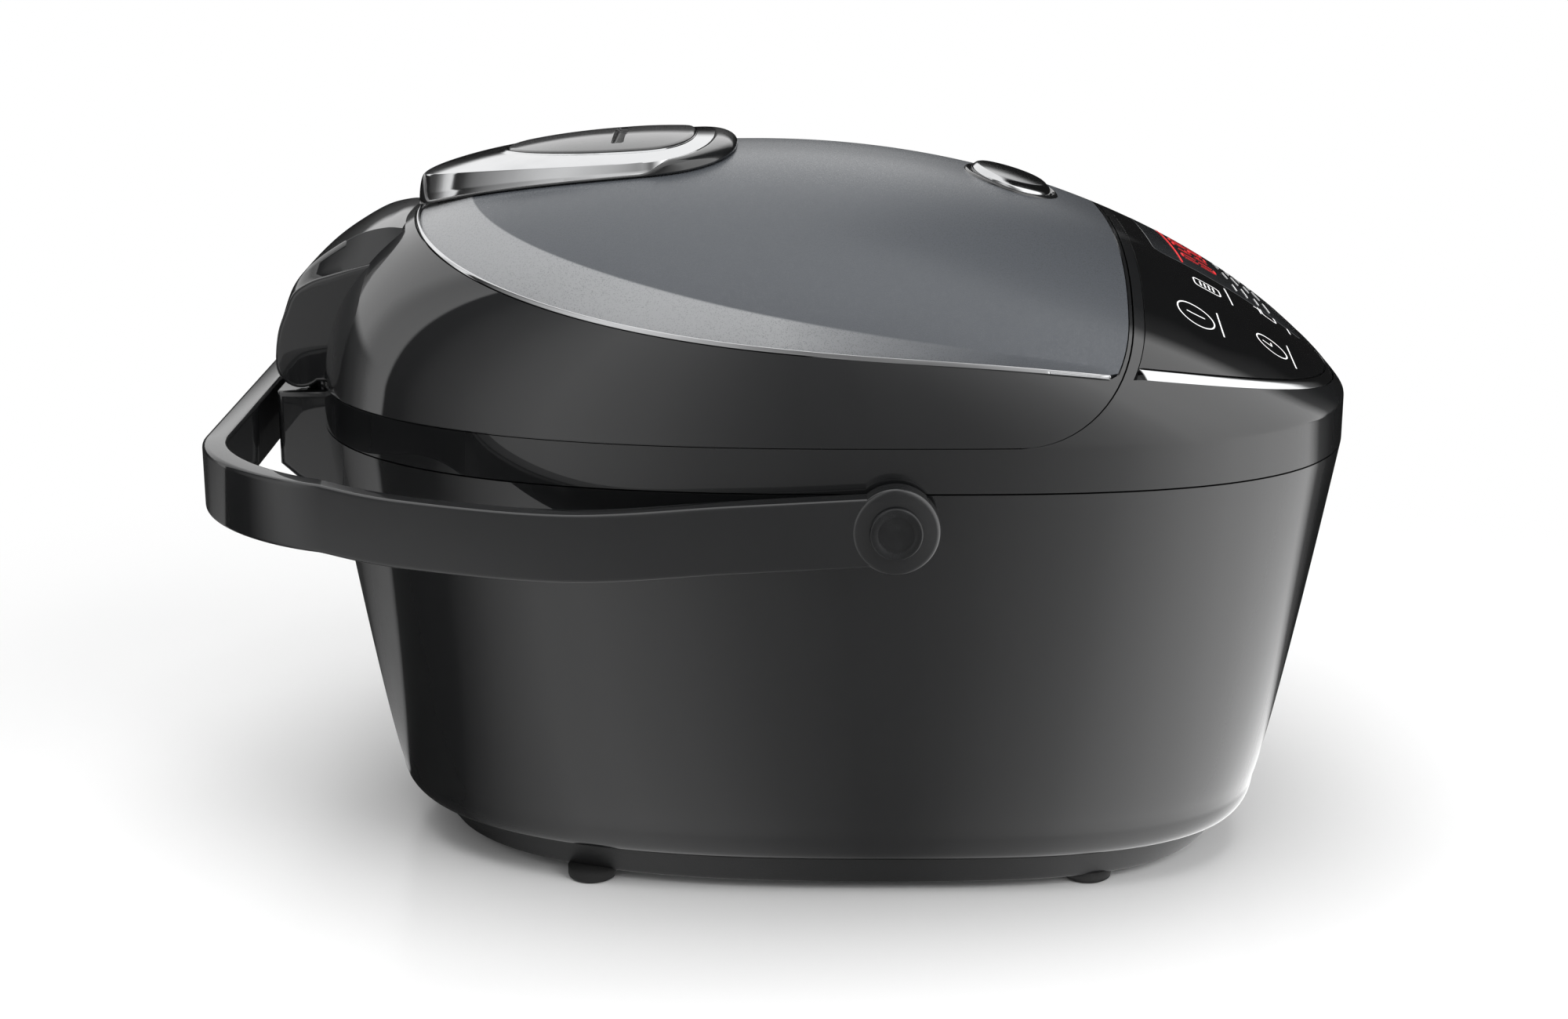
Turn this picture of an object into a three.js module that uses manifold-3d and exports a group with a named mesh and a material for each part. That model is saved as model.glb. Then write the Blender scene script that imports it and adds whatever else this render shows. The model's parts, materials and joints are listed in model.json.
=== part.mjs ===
// A countertop multicooker: a tapered egg-shaped housing, a domed hinged lid with a lift-off
// steam valve, a sloping touch panel, a folding carry handle and a removable cooking pot.
// Millimetres, +Z up, the front with the touch panel faces -Y, the lid hinge is at +Y.
import * as THREE from 'three';
import { mergeVertices } from 'three/addons/utils/BufferGeometryUtils.js';
import Module from 'manifold-3d';

const wasm = await Module();
wasm.setup();

// Body outline in plan, seen from above: an egg with a blunter front
const bodyHalfWidth = 142.5;
const bodyFront = 171;
const bodyRear = 212;
const frontSquareness = 3.1;
const rearSquareness = 2.6;

// Walls, gaps and the overrun that every cut shares
const seamGap = 0.6;
const fitGap = 0.3;
const slideGap = 0.5;
const shellWall = 3;
const overrun = 4;

// Heights of the parting lines and of the crown
const footHeight = 3.2;
const baseTopZ = 14.5;
const housingTopZ = 163;
const collarHeight = 16;
const lidSplitZ = housingTopZ + collarHeight;
const crownRise = 82.3;
const crownZ = lidSplitZ + crownRise;
const crownY = 50;
const frontCrownPower = 2.1;
const frontCrownEndPower = 1.18;
const rearCrownPower = 2.4;
const rearCrownEndPower = 2.5;
const sidePower = 2.5;
const sideEndPower = 1.5;

// Lower housing and base pan
const housingSideTaper = 37;
const housingFootHalfWidth = bodyHalfWidth - housingSideTaper;
const housingFrontTaper = 31;
const housingFootFront = bodyFront - housingFrontTaper;
const housingRearTaper = 34;
const housingFootRear = bodyRear - housingRearTaper;
const housingCornerRise = 11;
const housingSideOut = 5;
const housingFrontOut = 7;
const housingRearOut = 11;
const housingBulgePower = 0.86;
const baseSideInset = 4.5;
const baseHalfWidth = housingFootHalfWidth - baseSideInset;
const baseFrontInset = 10;
const baseFront = housingFootFront - baseFrontInset;
const baseRearInset = 8;
const baseRear = housingFootRear - baseRearInset;
const baseFloor = 4;
const ventWidth = 5;
const ventLength = 60;
const ventPitch = 12;
const ventCount = 6;
const ventY = 40;

// Feet and base screws
const footRadius = 9;
const footSideInset = 15;
const footX = baseHalfWidth - footSideInset;
const footFrontInset = 54;
const footFrontY = footFrontInset - baseFront;
const footRearInset = 61;
const footRearY = baseRear - footRearInset;
const footSink = 1.5;
const screwHeadRadius = 4;
const screwHeadHeight = 2;
const screwSlot = 1;
const screwSideStep = 24;
const screwX = footX - screwSideStep;
const screwFrontStep = 16;
const screwFrontY = footFrontY - screwFrontStep;
const screwRearStep = 25;
const screwRearY = footRearY + screwRearStep;

// Pot, liner, heater and temperature sensor
const potSetback = 29.5;
const potY = (bodyRear - bodyFront) / 2 + potSetback;
const potRimDrop = 0.7;
const potRimZ = lidSplitZ - potRimDrop;
const potRimThick = 2;
const potWallSpace = 29.5;
const potMouthRadius = bodyHalfWidth - potWallSpace;
const potRimWidth = 8.5;
const potRimRadius = potMouthRadius + potRimWidth;
const potMouthTaper = 15;
const potWaistRadius = potMouthRadius - potMouthTaper;
const potFloorTaper = 38;
const potFloorRadius = potWaistRadius - potFloorTaper;
const potFloorRise = 31.5;
const potFloorZ = baseTopZ + potFloorRise;
const potWaistRise = 42;
const potWaistZ = potFloorZ + potWaistRise;
const potKneeShare = 0.28;
const potWall = 2.4;
const linerGap = 4;
const linerWall = 1.5;
const linerFloorDrop = 10;
const linerFloorZ = potFloorZ - linerFloorDrop;
const linerFlange = 8;
const deckHoleGap = 2;
const deckHoleRadius = potMouthRadius + deckHoleGap;
const deckRecessGap = 1;
const deckRecessRadius = potRimRadius + deckRecessGap;
const deckRecessZ = potRimZ - potRimThick - fitGap;
const deckThick = 6;
const heaterReach = 12;
const heaterRadius = potFloorRadius + heaterReach;
const heaterThick = 8;
const heaterRimThick = 4;
const sensorRadius = 14;
const sensorHoleGap = 2;
const sensorHoleRadius = sensorRadius + sensorHoleGap;
const sensorCapThick = 5;
const sensorStemRadius = 5;
const sensorStemLength = 18;
const sensorCupReach = 10;
const sensorCupRadius = sensorRadius + sensorCupReach;
const sensorCupDepth = 8;
const sensorSpringStep = 4;
const sensorSpringRadius = sensorStemRadius + sensorSpringStep;
const sensorSpringWire = 1.2;
const sensorSpringTurns = 4;

// Lid seam at the front, the lid's inner parts and its seal
const panelLength = 94;
const lidFrontSide = bodyFront - panelLength;
const lidFrontBow = 8;
const lidCornerRadius = 35;
const lidTopWall = 6;
const linerLidThick = 3.5;
const sealInset = 3;
const sealInnerRadius = potMouthRadius - sealInset;
const sealRimInset = 2;
const sealOuterRadius = potRimRadius - sealRimInset;
const sealHeight = 2.4;
const lidMouthStep = 6;
const lidMouthRadius = sealInnerRadius - lidMouthStep;
const innerPlateThick = 1.4;
const innerPlateDish = 5.6;
const innerPlateRim = 9;

// Grey top panel of the lid and its bright trim line
const topPanelSideInset = 12;
const topPanelHalfWidth = bodyHalfWidth - topPanelSideInset;
const topPanelRearInset = 36.5;
const topPanelRearY = bodyRear - topPanelRearInset;
const topPanelWideY = -15;
const topPanelSquareness = 2.6;
const topPanelThick = 3;
const trimWidth = 1.5;
const trimThick = 2;

// Control panel on the front deck
const panelSideInset = 12;
const panelHalfWidth = bodyHalfWidth - panelSideInset;
const panelFrontInset = 3;
const panelFront = bodyFront - panelFrontInset;
const glassThick = 3;
const glassBezel = 4;
const panelStripWidth = 2.4;
const frontDeckWall = 6.8;
const windowHalfWidth = 38;
const windowFrontInset = 12;
const windowFrontY = windowFrontInset - panelFront;
const windowLength = 57;
const windowRearY = windowFrontY + windowLength;
const windowSink = 0.4;
const boardHalfWidth = 50;
const boardThick = 1.6;
const boardRise = 3;
const boardZ = lidSplitZ + boardRise;
const boardFrontInset = 24;
const boardFrontY = boardFrontInset - bodyFront;
const boardLength = 50;
const boardRearY = boardFrontY + boardLength;
const moduleInset = 4;
const moduleHalfWidth = windowHalfWidth - moduleInset / 2;
const moduleRearY = windowRearY - moduleInset;
const moduleFrontY = boardFrontY + moduleInset / 2;

// Hinge cover on the lid, its pin and the bracket on the housing
const hingeHalfWidth = 44;
const hingeOut = 16.2;
const hingeReach = bodyRear + hingeOut;
const hingeTopRise = 40;
const hingeTopZ = lidSplitZ + hingeTopRise;
const hingeRidgeInset = 12;
const hingeRidgeY = bodyRear - hingeRidgeInset;
const hingeRidgeRise = 49;
const hingeRidgeZ = lidSplitZ + hingeRidgeRise;
const hingeStartInset = 32;
const hingeStartY = bodyRear - hingeStartInset;
const hingeStartRise = 60;
const hingeStartZ = lidSplitZ + hingeStartRise;
const hingeBevel = 3;
const pinOut = 5;
const pinY = bodyRear + pinOut;
const pinRise = 7;
const pinZ = lidSplitZ + pinRise;
const pinRadius = 3;
const pinEnd = 4;
const knuckleRadius = 9.5;
const knuckleClear = 10.2;
const lugRadius = 6.5;
const lugX = 20;
const lugWidth = 8;
const knuckleSideGap = 5;
const knuckleHalfWidth = lugX + lugWidth + knuckleSideGap;
const coverOut = 14;
const coverRearY = bodyRear + coverOut;
const coverBendDrop = 15;
const coverBendZ = housingTopZ - coverBendDrop;
const coverFootDrop = 59;
const coverFootZ = housingTopZ - coverFootDrop;
const coverFootInset = 6;
const coverFootY = bodyRear - coverFootInset;
const hingeSpringWire = 1.4;
const hingeSpringGap = 0.4;
const hingeSpringRadius = pinRadius + hingeSpringGap + hingeSpringWire / 2;
const hingeSpringTurns = 5;
const hingeSpringLength = 26;

// Carry handle
const handleY = 0;
const handleDrop = 10;
const handleZ = housingTopZ - handleDrop;
const handleSideGap = 2.3;
const handleInnerX = bodyHalfWidth + handleSideGap;
const handleThick = 8.8;
const handleHeight = 24;
const handleBarHeight = 19;
const handleBarGap = 1.6;
const handleBarY = hingeReach + handleBarGap;
const handleBarDrop = 13.5;
const handleBarZ = lidSplitZ - handleBarDrop;
const handleDipInset = 102;
const handleDipY = bodyRear - handleDipInset;
const handleDip = 6;
const handleDipZ = handleZ - handleDip;
const handleRiseInset = 47;
const handleRiseY = bodyRear - handleRiseInset;
const handleRiseDrop = 1;
const handleRiseZ = handleZ - handleRiseDrop;
const handleCornerRadius = 42;
const handleBevel = 2.2;
const handleBossRadius = 15;
const pivotRadius = 4.6;
const pivotHeadRadius = 9;
const pivotHeadThick = 2.4;
const pivotCollarRadius = 11;

// Release button, its bezel and the latch
const buttonSetback = 28;
const buttonY = buttonSetback - lidFrontSide;
const buttonHalfX = 25;
const buttonHalfY = 15;
const buttonRise = 1.6;
const buttonDepth = 5;
const bezelWall = 3;
const bezelRise = 0.8;
const bezelDepth = 16.5;
const bezelFloor = 2;
const buttonSpringRadius = 5;
const buttonSpringWire = 1;
const buttonSpringTurns = 4;
const latchHalfWidth = 7;
const latchReach = 3;
const latchTipY = -lidFrontSide - latchReach;
const latchRise = 8;
const latchZ = lidSplitZ + latchRise;
const latchHeight = 5;
const latchLength = 24;

// Steam valve on the lid
const valveRearInset = 36;
const valveRearY = bodyRear - valveRearInset;
const valveHalfLength = 59;
const valveY = valveRearY - valveHalfLength;
const valveHalfWidth = 45;
const valveSquareness = 2.7;
const valveTaperShare = 0.16;
const valveSkirt = 2.2;
const valveSkirtInset = 3;
const valveEdge = 1;
const valveCrown = 3.2;
const valveRearLift = 6.5;
const valveLiftLength = 84;
const valveCapEndInset = 23;
const valveCapHalfLength = valveHalfLength - valveCapEndInset;
const valveCapSideInset = 16;
const valveCapHalfWidth = valveHalfWidth - valveCapSideInset;
const valveCapStep = 11;
const valveCapY = valveY - valveCapStep;
const valveCapRise = 1;
const valveSlotHalfLength = 14;
const valveSlotWidth = 4.5;
const valveSlotDepth = 3;
const valveSlotStep = 7;
const valveSlotY = valveCapY - valveSlotStep;
const stemRadius = 12;
const stemWall = 4;
const stemStep = 5;
const stemY = valveY - stemStep;
const stemFootRise = 11;
const stemBottomZ = lidSplitZ + stemFootRise;
const stemSealWidth = 2;
const stemSealRadius = stemRadius + stemSealWidth;
const stemSealHeight = 3;
const stemSealDrop = 23.3;
const stemSealZ = crownZ - stemSealDrop;

// Power inlet, boards and wiring inside the housing
const inletHalfWidth = 15;
const inletHalfHeight = 12;
const inletZ = 50;
const inletSink = 1.5;
const inletDepth = 22;
const inletWall = 2.5;
const inletPinWidth = 2;
const inletPinHeight = 5;
const inletPinLength = 12;
const inletPinPitch = 7;
const powerBoardHalfWidth = 58;
const powerBoardInset = 18;
const powerBoardFrontY = powerBoardInset - baseFront;
const powerBoardLength = 60;
const powerBoardRearY = powerBoardFrontY + powerBoardLength;
const powerBoardRise = 7.8;
const powerBoardZ = footHeight + baseFloor + powerBoardRise;
const coilBoxSize = 24;
const coilBoxX = -30;
const capacitorRadius = 8;
const capacitorHeight = 20;
const capacitorX = 12;
const capacitorPitch = 20;
const wireRadius = 2.5;
const wireDrop = 15;
const wireZ = linerFloorZ - wireDrop;

// How finely the round shapes are divided
const outlineSteps = 40;
const roundSteps = 24;
const smallSteps = 12;
const domeShares = [1, 0.95, 0.84, 0.66, 0.36];
const patchShares = [1, 0.82, 0.48];
const mergeTolerance = 1e-4;

// Solids: closed meshes in and out of the boolean library

function solidFrom(positions, triangles) {
  let volume = 0;
  const corner = (index) => new THREE.Vector3().fromArray(positions, index * 3);
  for (let i = 0; i < triangles.length; i += 3) {
    const [a, b, c] = [0, 1, 2].map((k) => corner(triangles[i + k]));
    volume += a.dot(b.cross(c));
  }
  if (volume < 0) {
    for (let i = 0; i < triangles.length; i += 3) {
      const first = triangles[i];
      triangles[i] = triangles[i + 1];
      triangles[i + 1] = first;
    }
  }
  return new wasm.Manifold(new wasm.Mesh({
    numProp: 3,
    vertProperties: Float32Array.from(positions),
    triVerts: Uint32Array.from(triangles),
  }));
}

function solid(geometry) {
  const bare = geometry.clone();
  bare.deleteAttribute('normal');
  bare.deleteAttribute('uv');
  const merged = mergeVertices(bare, mergeTolerance);
  const index = Array.from(merged.index.array);
  const triangles = [];
  for (let i = 0; i < index.length; i += 3) {
    const [a, b, c] = index.slice(i, i + 3);
    if (a !== b && b !== c && c !== a) {
      triangles.push(a, b, c);
    }
  }
  return solidFrom(Array.from(merged.attributes.position.array), triangles);
}

const cut = (body, ...tools) => tools.reduce((rest, tool) => rest.subtract(tool), body);
const join = (body, ...others) => others.reduce((sum, other) => sum.add(other), body);
const keep = (body, ...tools) => tools.reduce((rest, tool) => rest.intersect(tool), body);

const group = new THREE.Group();
group.name = 'multicooker';

function add(name, body, color, roughness, metalness) {
  const result = body.getMesh();
  const geometry = new THREE.BufferGeometry();
  geometry.setAttribute('position', new THREE.BufferAttribute(result.vertProperties, 3));
  geometry.setIndex(new THREE.BufferAttribute(result.triVerts, 1));
  geometry.computeVertexNormals();
  const mesh = new THREE.Mesh(geometry, new THREE.MeshStandardMaterial({ color, roughness, metalness }));
  mesh.name = name;
  group.add(mesh);
  return body;
}

// Rings of points stacked into one closed body, with a fan over each end
function stack(rings, topPoint, bottomPoint) {
  const count = rings[0].length;
  const middle = (ring) => ring.reduce((sum, p) => sum.clone().add(p), new THREE.Vector3())
    .divideScalar(ring.length);
  const points = rings.flat();
  const bottom = points.length;
  points.push(bottomPoint ?? middle(rings[0]));
  const top = points.length;
  points.push(topPoint ?? middle(rings[rings.length - 1]));
  const triangles = [];
  for (let level = 0; level < rings.length - 1; level += 1) {
    for (let i = 0; i < count; i += 1) {
      const next = (i + 1) % count;
      const a = level * count + i;
      const b = level * count + next;
      triangles.push(a, b, b + count, a, b + count, a + count);
    }
  }
  const last = (rings.length - 1) * count;
  for (let i = 0; i < count; i += 1) {
    const next = (i + 1) % count;
    triangles.push(next, i, bottom);
    triangles.push(last + i, last + next, top);
  }
  return solidFrom(points.flatMap((p) => p.toArray()), triangles);
}

// Turned body about a vertical axis at (x, y)
function turned(profile, x, y, steps = roundSteps) {
  const points = profile.map(([radius, z]) => new THREE.Vector2(radius, z));
  const geometry = new THREE.LatheGeometry([...points, points[0]], steps);
  geometry.rotateX(Math.PI / 2);
  geometry.translate(x, y, 0);
  return solid(geometry);
}

function disc(radius, x, y, zLow, zHigh, steps = roundSteps) {
  return turned([[0, zLow], [radius, zLow], [radius, zHigh], [0, zHigh]], x, y, steps);
}

// Cylinder whose axis lies along X
function crossRod(radius, xLow, xHigh, y, z, steps = smallSteps) {
  const geometry = new THREE.CylinderGeometry(radius, radius, xHigh - xLow, steps);
  geometry.rotateZ(Math.PI / 2);
  geometry.translate((xLow + xHigh) / 2, y, z);
  return solid(geometry);
}

function block(xLow, xHigh, yLow, yHigh, zLow, zHigh) {
  const geometry = new THREE.BoxGeometry(xHigh - xLow, yHigh - yLow, zHigh - zLow);
  geometry.translate((xLow + xHigh) / 2, (yLow + yHigh) / 2, (zLow + zHigh) / 2);
  return solid(geometry);
}

// A side profile of [y, z] points, pushed out along X
function sideBlock(profile, xLow, xHigh) {
  const ring = (x) => profile.map(([y, z]) => new THREE.Vector3(x, y, z));
  return stack([ring(xLow), ring(xHigh)]);
}

// A coil along Z or X whose wire is five-sided
class Helix extends THREE.Curve {
  constructor(radius, length, turns, along) {
    super();
    Object.assign(this, { radius, length, turns, along });
  }

  getPoint(share) {
    const angle = share * this.turns * 2 * Math.PI;
    const a = this.radius * Math.cos(angle);
    const b = this.radius * Math.sin(angle);
    const run = share * this.length;
    return this.along === 'x' ? new THREE.Vector3(run, a, b) : new THREE.Vector3(a, b, run);
  }
}

function tube(curve, radius, sides, steps) {
  const section = new THREE.Shape();
  for (let i = 0; i < sides; i += 1) {
    const angle = (i / sides) * 2 * Math.PI;
    const place = [radius * Math.cos(angle), radius * Math.sin(angle)];
    if (i === 0) {
      section.moveTo(...place);
    } else {
      section.lineTo(...place);
    }
  }
  section.closePath();
  return new THREE.ExtrudeGeometry(section, { steps, extrudePath: curve, bevelEnabled: false });
}

function coil(radius, wire, length, turns, along, x, y, z) {
  const geometry = tube(new Helix(radius, length, turns, along), wire / 2, 5, turns * 7);
  geometry.translate(x, y, z);
  return solid(geometry);
}

// Outlines in plan

const powerOf = (value, power) => Math.sign(value) * Math.abs(value) ** power;

function eggRing(halfWidth, front, rear, z, steps = outlineSteps) {
  const points = [];
  for (let i = 0; i < steps; i += 1) {
    const angle = (i / steps) * 2 * Math.PI;
    const toFront = Math.sin(angle) < 0;
    const power = 2 / (toFront ? frontSquareness : rearSquareness);
    const y = (toFront ? front : rear) * powerOf(Math.sin(angle), power);
    points.push(new THREE.Vector3(halfWidth * powerOf(Math.cos(angle), power), y, z));
  }
  return points;
}

const bodyRing = (inset, z) => eggRing(bodyHalfWidth - inset, bodyFront - inset, bodyRear - inset, z);
const bodyPrism = (inset, zLow, zHigh) => stack([bodyRing(inset, zLow), bodyRing(inset, zHigh)]);

function ovalRing(halfX, halfY, x, y, z, steps = smallSteps, squareness = 2) {
  const points = [];
  for (let i = 0; i < steps; i += 1) {
    const angle = (i / steps) * 2 * Math.PI;
    const across = halfX * powerOf(Math.cos(angle), 2 / squareness);
    const along = halfY * powerOf(Math.sin(angle), 2 / squareness);
    points.push(new THREE.Vector3(x + across, y + along, z));
  }
  return points;
}

function ovalPrism(halfX, halfY, y, zLow, zHigh, steps = smallSteps) {
  return stack([ovalRing(halfX, halfY, 0, y, zLow, steps), ovalRing(halfX, halfY, 0, y, zHigh, steps)]);
}

// The crown that the lid, the top panel and the control panel share

function crestHeight(y) {
  const toFront = y < crownY;
  const length = toFront ? crownY + bodyFront : bodyRear - crownY;
  const share = Math.min(1, Math.abs(y - crownY) / length);
  const power = toFront ? frontCrownPower : rearCrownPower;
  const endPower = toFront ? frontCrownEndPower : rearCrownEndPower;
  return lidSplitZ + (crownZ - lidSplitZ) * (1 - share ** power) ** (1 / endPower);
}

function halfWidthAt(y) {
  const length = y < 0 ? bodyFront : bodyRear;
  const squareness = y < 0 ? frontSquareness : rearSquareness;
  const share = Math.min(1, Math.abs(y) / length);
  return bodyHalfWidth * (1 - share ** squareness) ** (1 / squareness);
}

function crownHeight(x, y) {
  const share = Math.min(1, Math.abs(x) / Math.max(halfWidthAt(y), mergeTolerance));
  const arch = (1 - share ** sidePower) ** (1 / sideEndPower);
  return lidSplitZ + Math.max(0, crestHeight(y) - lidSplitZ) * arch;
}

// Everything under the crown, drawn in by an inset and lowered by a drop
function crownSolid(inset, drop, zLow) {
  const centreY = (bodyRear - bodyFront) / 2;
  const outer = bodyRing(0, 0);
  const inner = bodyRing(inset, 0);
  const rings = domeShares.map((share) => outer.map((p, i) => {
    const height = share === 1 ? lidSplitZ : crownHeight(share * p.x, centreY + share * (p.y - centreY));
    const y = centreY + share * (inner[i].y - centreY);
    return new THREE.Vector3(share * inner[i].x, y, height - drop);
  }));
  const apex = new THREE.Vector3(0, centreY, crownHeight(0, centreY) - drop);
  return stack([bodyRing(inset, zLow), ...rings], apex);
}

// The space that the lid takes, grown by a margin: flat below, rounded up to a bowed front
function lidRegion(grow) {
  const reach = bodyRear + bodyFront;
  const stations = 8;
  const arcSteps = 6;
  const rings = [];
  for (let i = 0; i <= stations; i += 1) {
    const share = -1 + (2 * i) / stations;
    const x = share * (bodyHalfWidth + overrun);
    const bow = -lidFrontBow * (1 - Math.min(1, Math.abs(x / bodyHalfWidth)) ** 4);
    const arcY = -lidFrontSide + lidCornerRadius;
    const arcZ = lidSplitZ + lidCornerRadius;
    const profile = [[reach, lidSplitZ - grow], [reach, lidSplitZ + reach]];
    profile.push([bow - lidFrontSide - grow, lidSplitZ + reach]);
    for (let k = 0; k <= arcSteps; k += 1) {
      const angle = (k / arcSteps) * (Math.PI / 2);
      const radius = lidCornerRadius + grow;
      profile.push([bow + arcY - radius * Math.cos(angle), arcZ - radius * Math.sin(angle)]);
    }
    rings.push(profile.map(([y, z]) => new THREE.Vector3(x, y, z)));
  }
  return stack(rings);
}

// A patch over the crown between two heights above it, inside a star-shaped outline
function crownPatch(outline, centreY, low, high) {
  const at = (point, share, rise) => {
    const x = share * point.x;
    const y = centreY + share * (point.y - centreY);
    return new THREE.Vector3(x, y, crownHeight(x, y) + rise(share, x, y));
  };
  const lowShares = [...patchShares].reverse();
  const lowRings = lowShares.map((share) => outline.map((p) => at(p, share, low)));
  const highRings = patchShares.map((share) => outline.map((p) => at(p, share, high)));
  const centre = new THREE.Vector3(0, centreY, 0);
  return stack([...lowRings, ...highRings], at(centre, 0, high), at(centre, 0, low));
}

// Lower housing

function housingRing(z, inset) {
  const wallFootZ = baseTopZ + housingCornerRise;
  const rise = Math.max(0, (z - wallFootZ) / (housingTopZ - wallFootZ));
  const corner = Math.min(1, (z - baseTopZ) / housingCornerRise);
  const round = Math.sqrt(Math.max(0, 1 - (1 - corner) ** 2));
  const size = (low, out, high) => low + out * round + (high - low - out) * rise ** housingBulgePower - inset;
  return eggRing(
    size(housingFootHalfWidth, housingSideOut, bodyHalfWidth),
    size(housingFootFront, housingFrontOut, bodyFront),
    size(housingFootRear, housingRearOut, bodyRear),
    z,
  );
}

const housingShares = [0, 0.02, 0.06, 0.45, 1];

function housingSolid(inset, zLow, zHigh) {
  const levels = housingShares.map((share) => baseTopZ + share * (housingTopZ - baseTopZ));
  const rings = levels.map((z) => housingRing(z, inset));
  rings[0].forEach((p) => { p.z = zLow; });
  rings[rings.length - 1].forEach((p) => { p.z = zHigh; });
  return stack(rings);
}

const seamHalf = seamGap / 2;
const rearOf = (ring) => ring.reduce((most, p) => Math.max(most, p.y), 0);
const inletFaceY = rearOf(housingRing(inletZ - inletHalfHeight, 0)) - inletSink;
const inletHole = block(
  -inletHalfWidth - fitGap,
  inletHalfWidth + fitGap,
  inletFaceY - inletDepth,
  bodyRear,
  inletZ - inletHalfHeight - fitGap,
  inletZ + inletHalfHeight + fitGap,
);
const pivotReach = bodyHalfWidth + handleThick;
const pivotHole = crossRod(pivotRadius + fitGap, -pivotReach, pivotReach, handleY, handleZ);
const housing = cut(
  housingSolid(0, baseTopZ + seamHalf, housingTopZ - seamHalf),
  housingSolid(shellWall, baseTopZ - overrun, housingTopZ + overrun),
  inletHole,
  pivotHole,
);
add('lower_housing', housing, 0x1b1c1f, 0.18, 0.1);

// Base pan with its floor, vents and screw posts

const baseRing = (inset, z) => eggRing(baseHalfWidth - inset, baseFront - inset, baseRear - inset, z);
const baseFloorZ = footHeight + baseFloor;
const footRing = (inset, z) => eggRing(
  housingFootHalfWidth - inset,
  housingFootFront - inset,
  housingFootRear - inset,
  z,
);
let basePan = stack([baseRing(0, footHeight), footRing(0, baseTopZ - seamHalf)]);
basePan = cut(basePan, stack([baseRing(shellWall, baseFloorZ), footRing(shellWall, baseTopZ + overrun)]));
for (let i = 0; i < ventCount; i += 1) {
  const x = (i - (ventCount - 1) / 2) * ventPitch;
  const slot = block(x - ventWidth / 2, x + ventWidth / 2, ventY - ventLength / 2, ventY + ventLength / 2,
    footHeight - overrun, baseFloorZ + overrun);
  basePan = cut(basePan, slot);
}
const footPlaces = [];
for (const x of [-footX, footX]) {
  for (const y of [footFrontY, footRearY]) {
    footPlaces.push([x, y]);
    const seat = disc(footRadius + fitGap, x, y, footHeight - overrun, footHeight + footSink, smallSteps);
    basePan = cut(basePan, seat);
  }
}
const screwPlaces = [];
for (const x of [-screwX, screwX]) {
  for (const y of [screwFrontY, screwRearY]) {
    screwPlaces.push([x, y]);
    const pocket = disc(screwHeadRadius + fitGap, x, y, footHeight - overrun,
      footHeight + screwHeadHeight + fitGap, smallSteps);
    basePan = cut(basePan, pocket);
  }
}
const boardPostTop = powerBoardZ - fitGap;
for (const x of [-powerBoardHalfWidth + screwHeadRadius, powerBoardHalfWidth - screwHeadRadius]) {
  for (const y of [powerBoardRearY - screwHeadRadius, powerBoardFrontY + screwHeadRadius]) {
    const post = disc(screwHeadRadius, x, y, baseFloorZ - footSink, boardPostTop, smallSteps);
    basePan = join(basePan, post);
  }
}
add('base_pan', basePan, 0x141416, 0.6, 0);

footPlaces.forEach(([x, y], i) => {
  const foot = turned([
    [0, 0],
    [footRadius - footSink, 0],
    [footRadius, footSink],
    [footRadius, footHeight + footSink - fitGap],
    [0, footHeight + footSink - fitGap],
  ], x, y, smallSteps);
  add(`foot_${i + 1}`, foot, 0x202022, 0.9, 0);
});

screwPlaces.forEach(([x, y], i) => {
  const slot = block(x - screwHeadRadius / 2, x + screwHeadRadius / 2, y - screwSlot / 2, y + screwSlot / 2,
    footHeight - overrun, footHeight + screwSlot);
  const screw = cut(disc(screwHeadRadius, x, y, footHeight, footHeight + screwHeadHeight, smallSteps), slot);
  add(`base_screw_${i + 1}`, screw, 0x8a8c90, 0.35, 0.9);
});

// Collar: the fixed upper body with the deck round the pot and the rise to the control panel

const topReachZ = crownZ + bodyHalfWidth;
const aboveCrown = (inset) => crownSolid(inset, inset, housingTopZ - overrun);
const crown = crownSolid(0, 0, housingTopZ + seamHalf);
const panelRing = (inset, z) => eggRing(panelHalfWidth - inset, panelFront - inset, bodyRear - inset, z);
const panelPrism = (inset, zLow, zHigh) => stack([panelRing(inset, zLow), panelRing(inset, zHigh)]);
const panelPocket = cut(panelPrism(0, lidSplitZ - shellWall, topReachZ), lidRegion(seamHalf + glassBezel),
  aboveCrown(glassThick + fitGap));
const deckCavity = cut(crownSolid(shellWall, frontDeckWall, housingTopZ - overrun), lidRegion(deckThick));
const latchSlot = (room) => block(
  -latchHalfWidth - slideGap,
  latchHalfWidth + slideGap,
  latchTipY - slideGap,
  latchTipY + latchLength,
  latchZ - slideGap,
  latchZ + latchHeight + room,
);
const windowBlock = (gap) => block(-windowHalfWidth - gap, windowHalfWidth + gap,
  windowFrontY - gap, windowRearY + gap, lidSplitZ - shellWall, topReachZ);
const collar = cut(
  cut(crown, lidRegion(seamHalf)),
  deckCavity,
  panelPocket,
  disc(deckHoleRadius, 0, potY, housingTopZ - overrun, topReachZ),
  disc(deckRecessRadius, 0, potY, deckRecessZ, topReachZ),
  latchSlot(latchHeight),
  keep(windowBlock(-glassThick), crownSolid(0, 0, housingTopZ)),
);
add('collar', collar, 0x1b1c1f, 0.18, 0.1);

// Glass touch panel, display window and the bright strip round them

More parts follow.
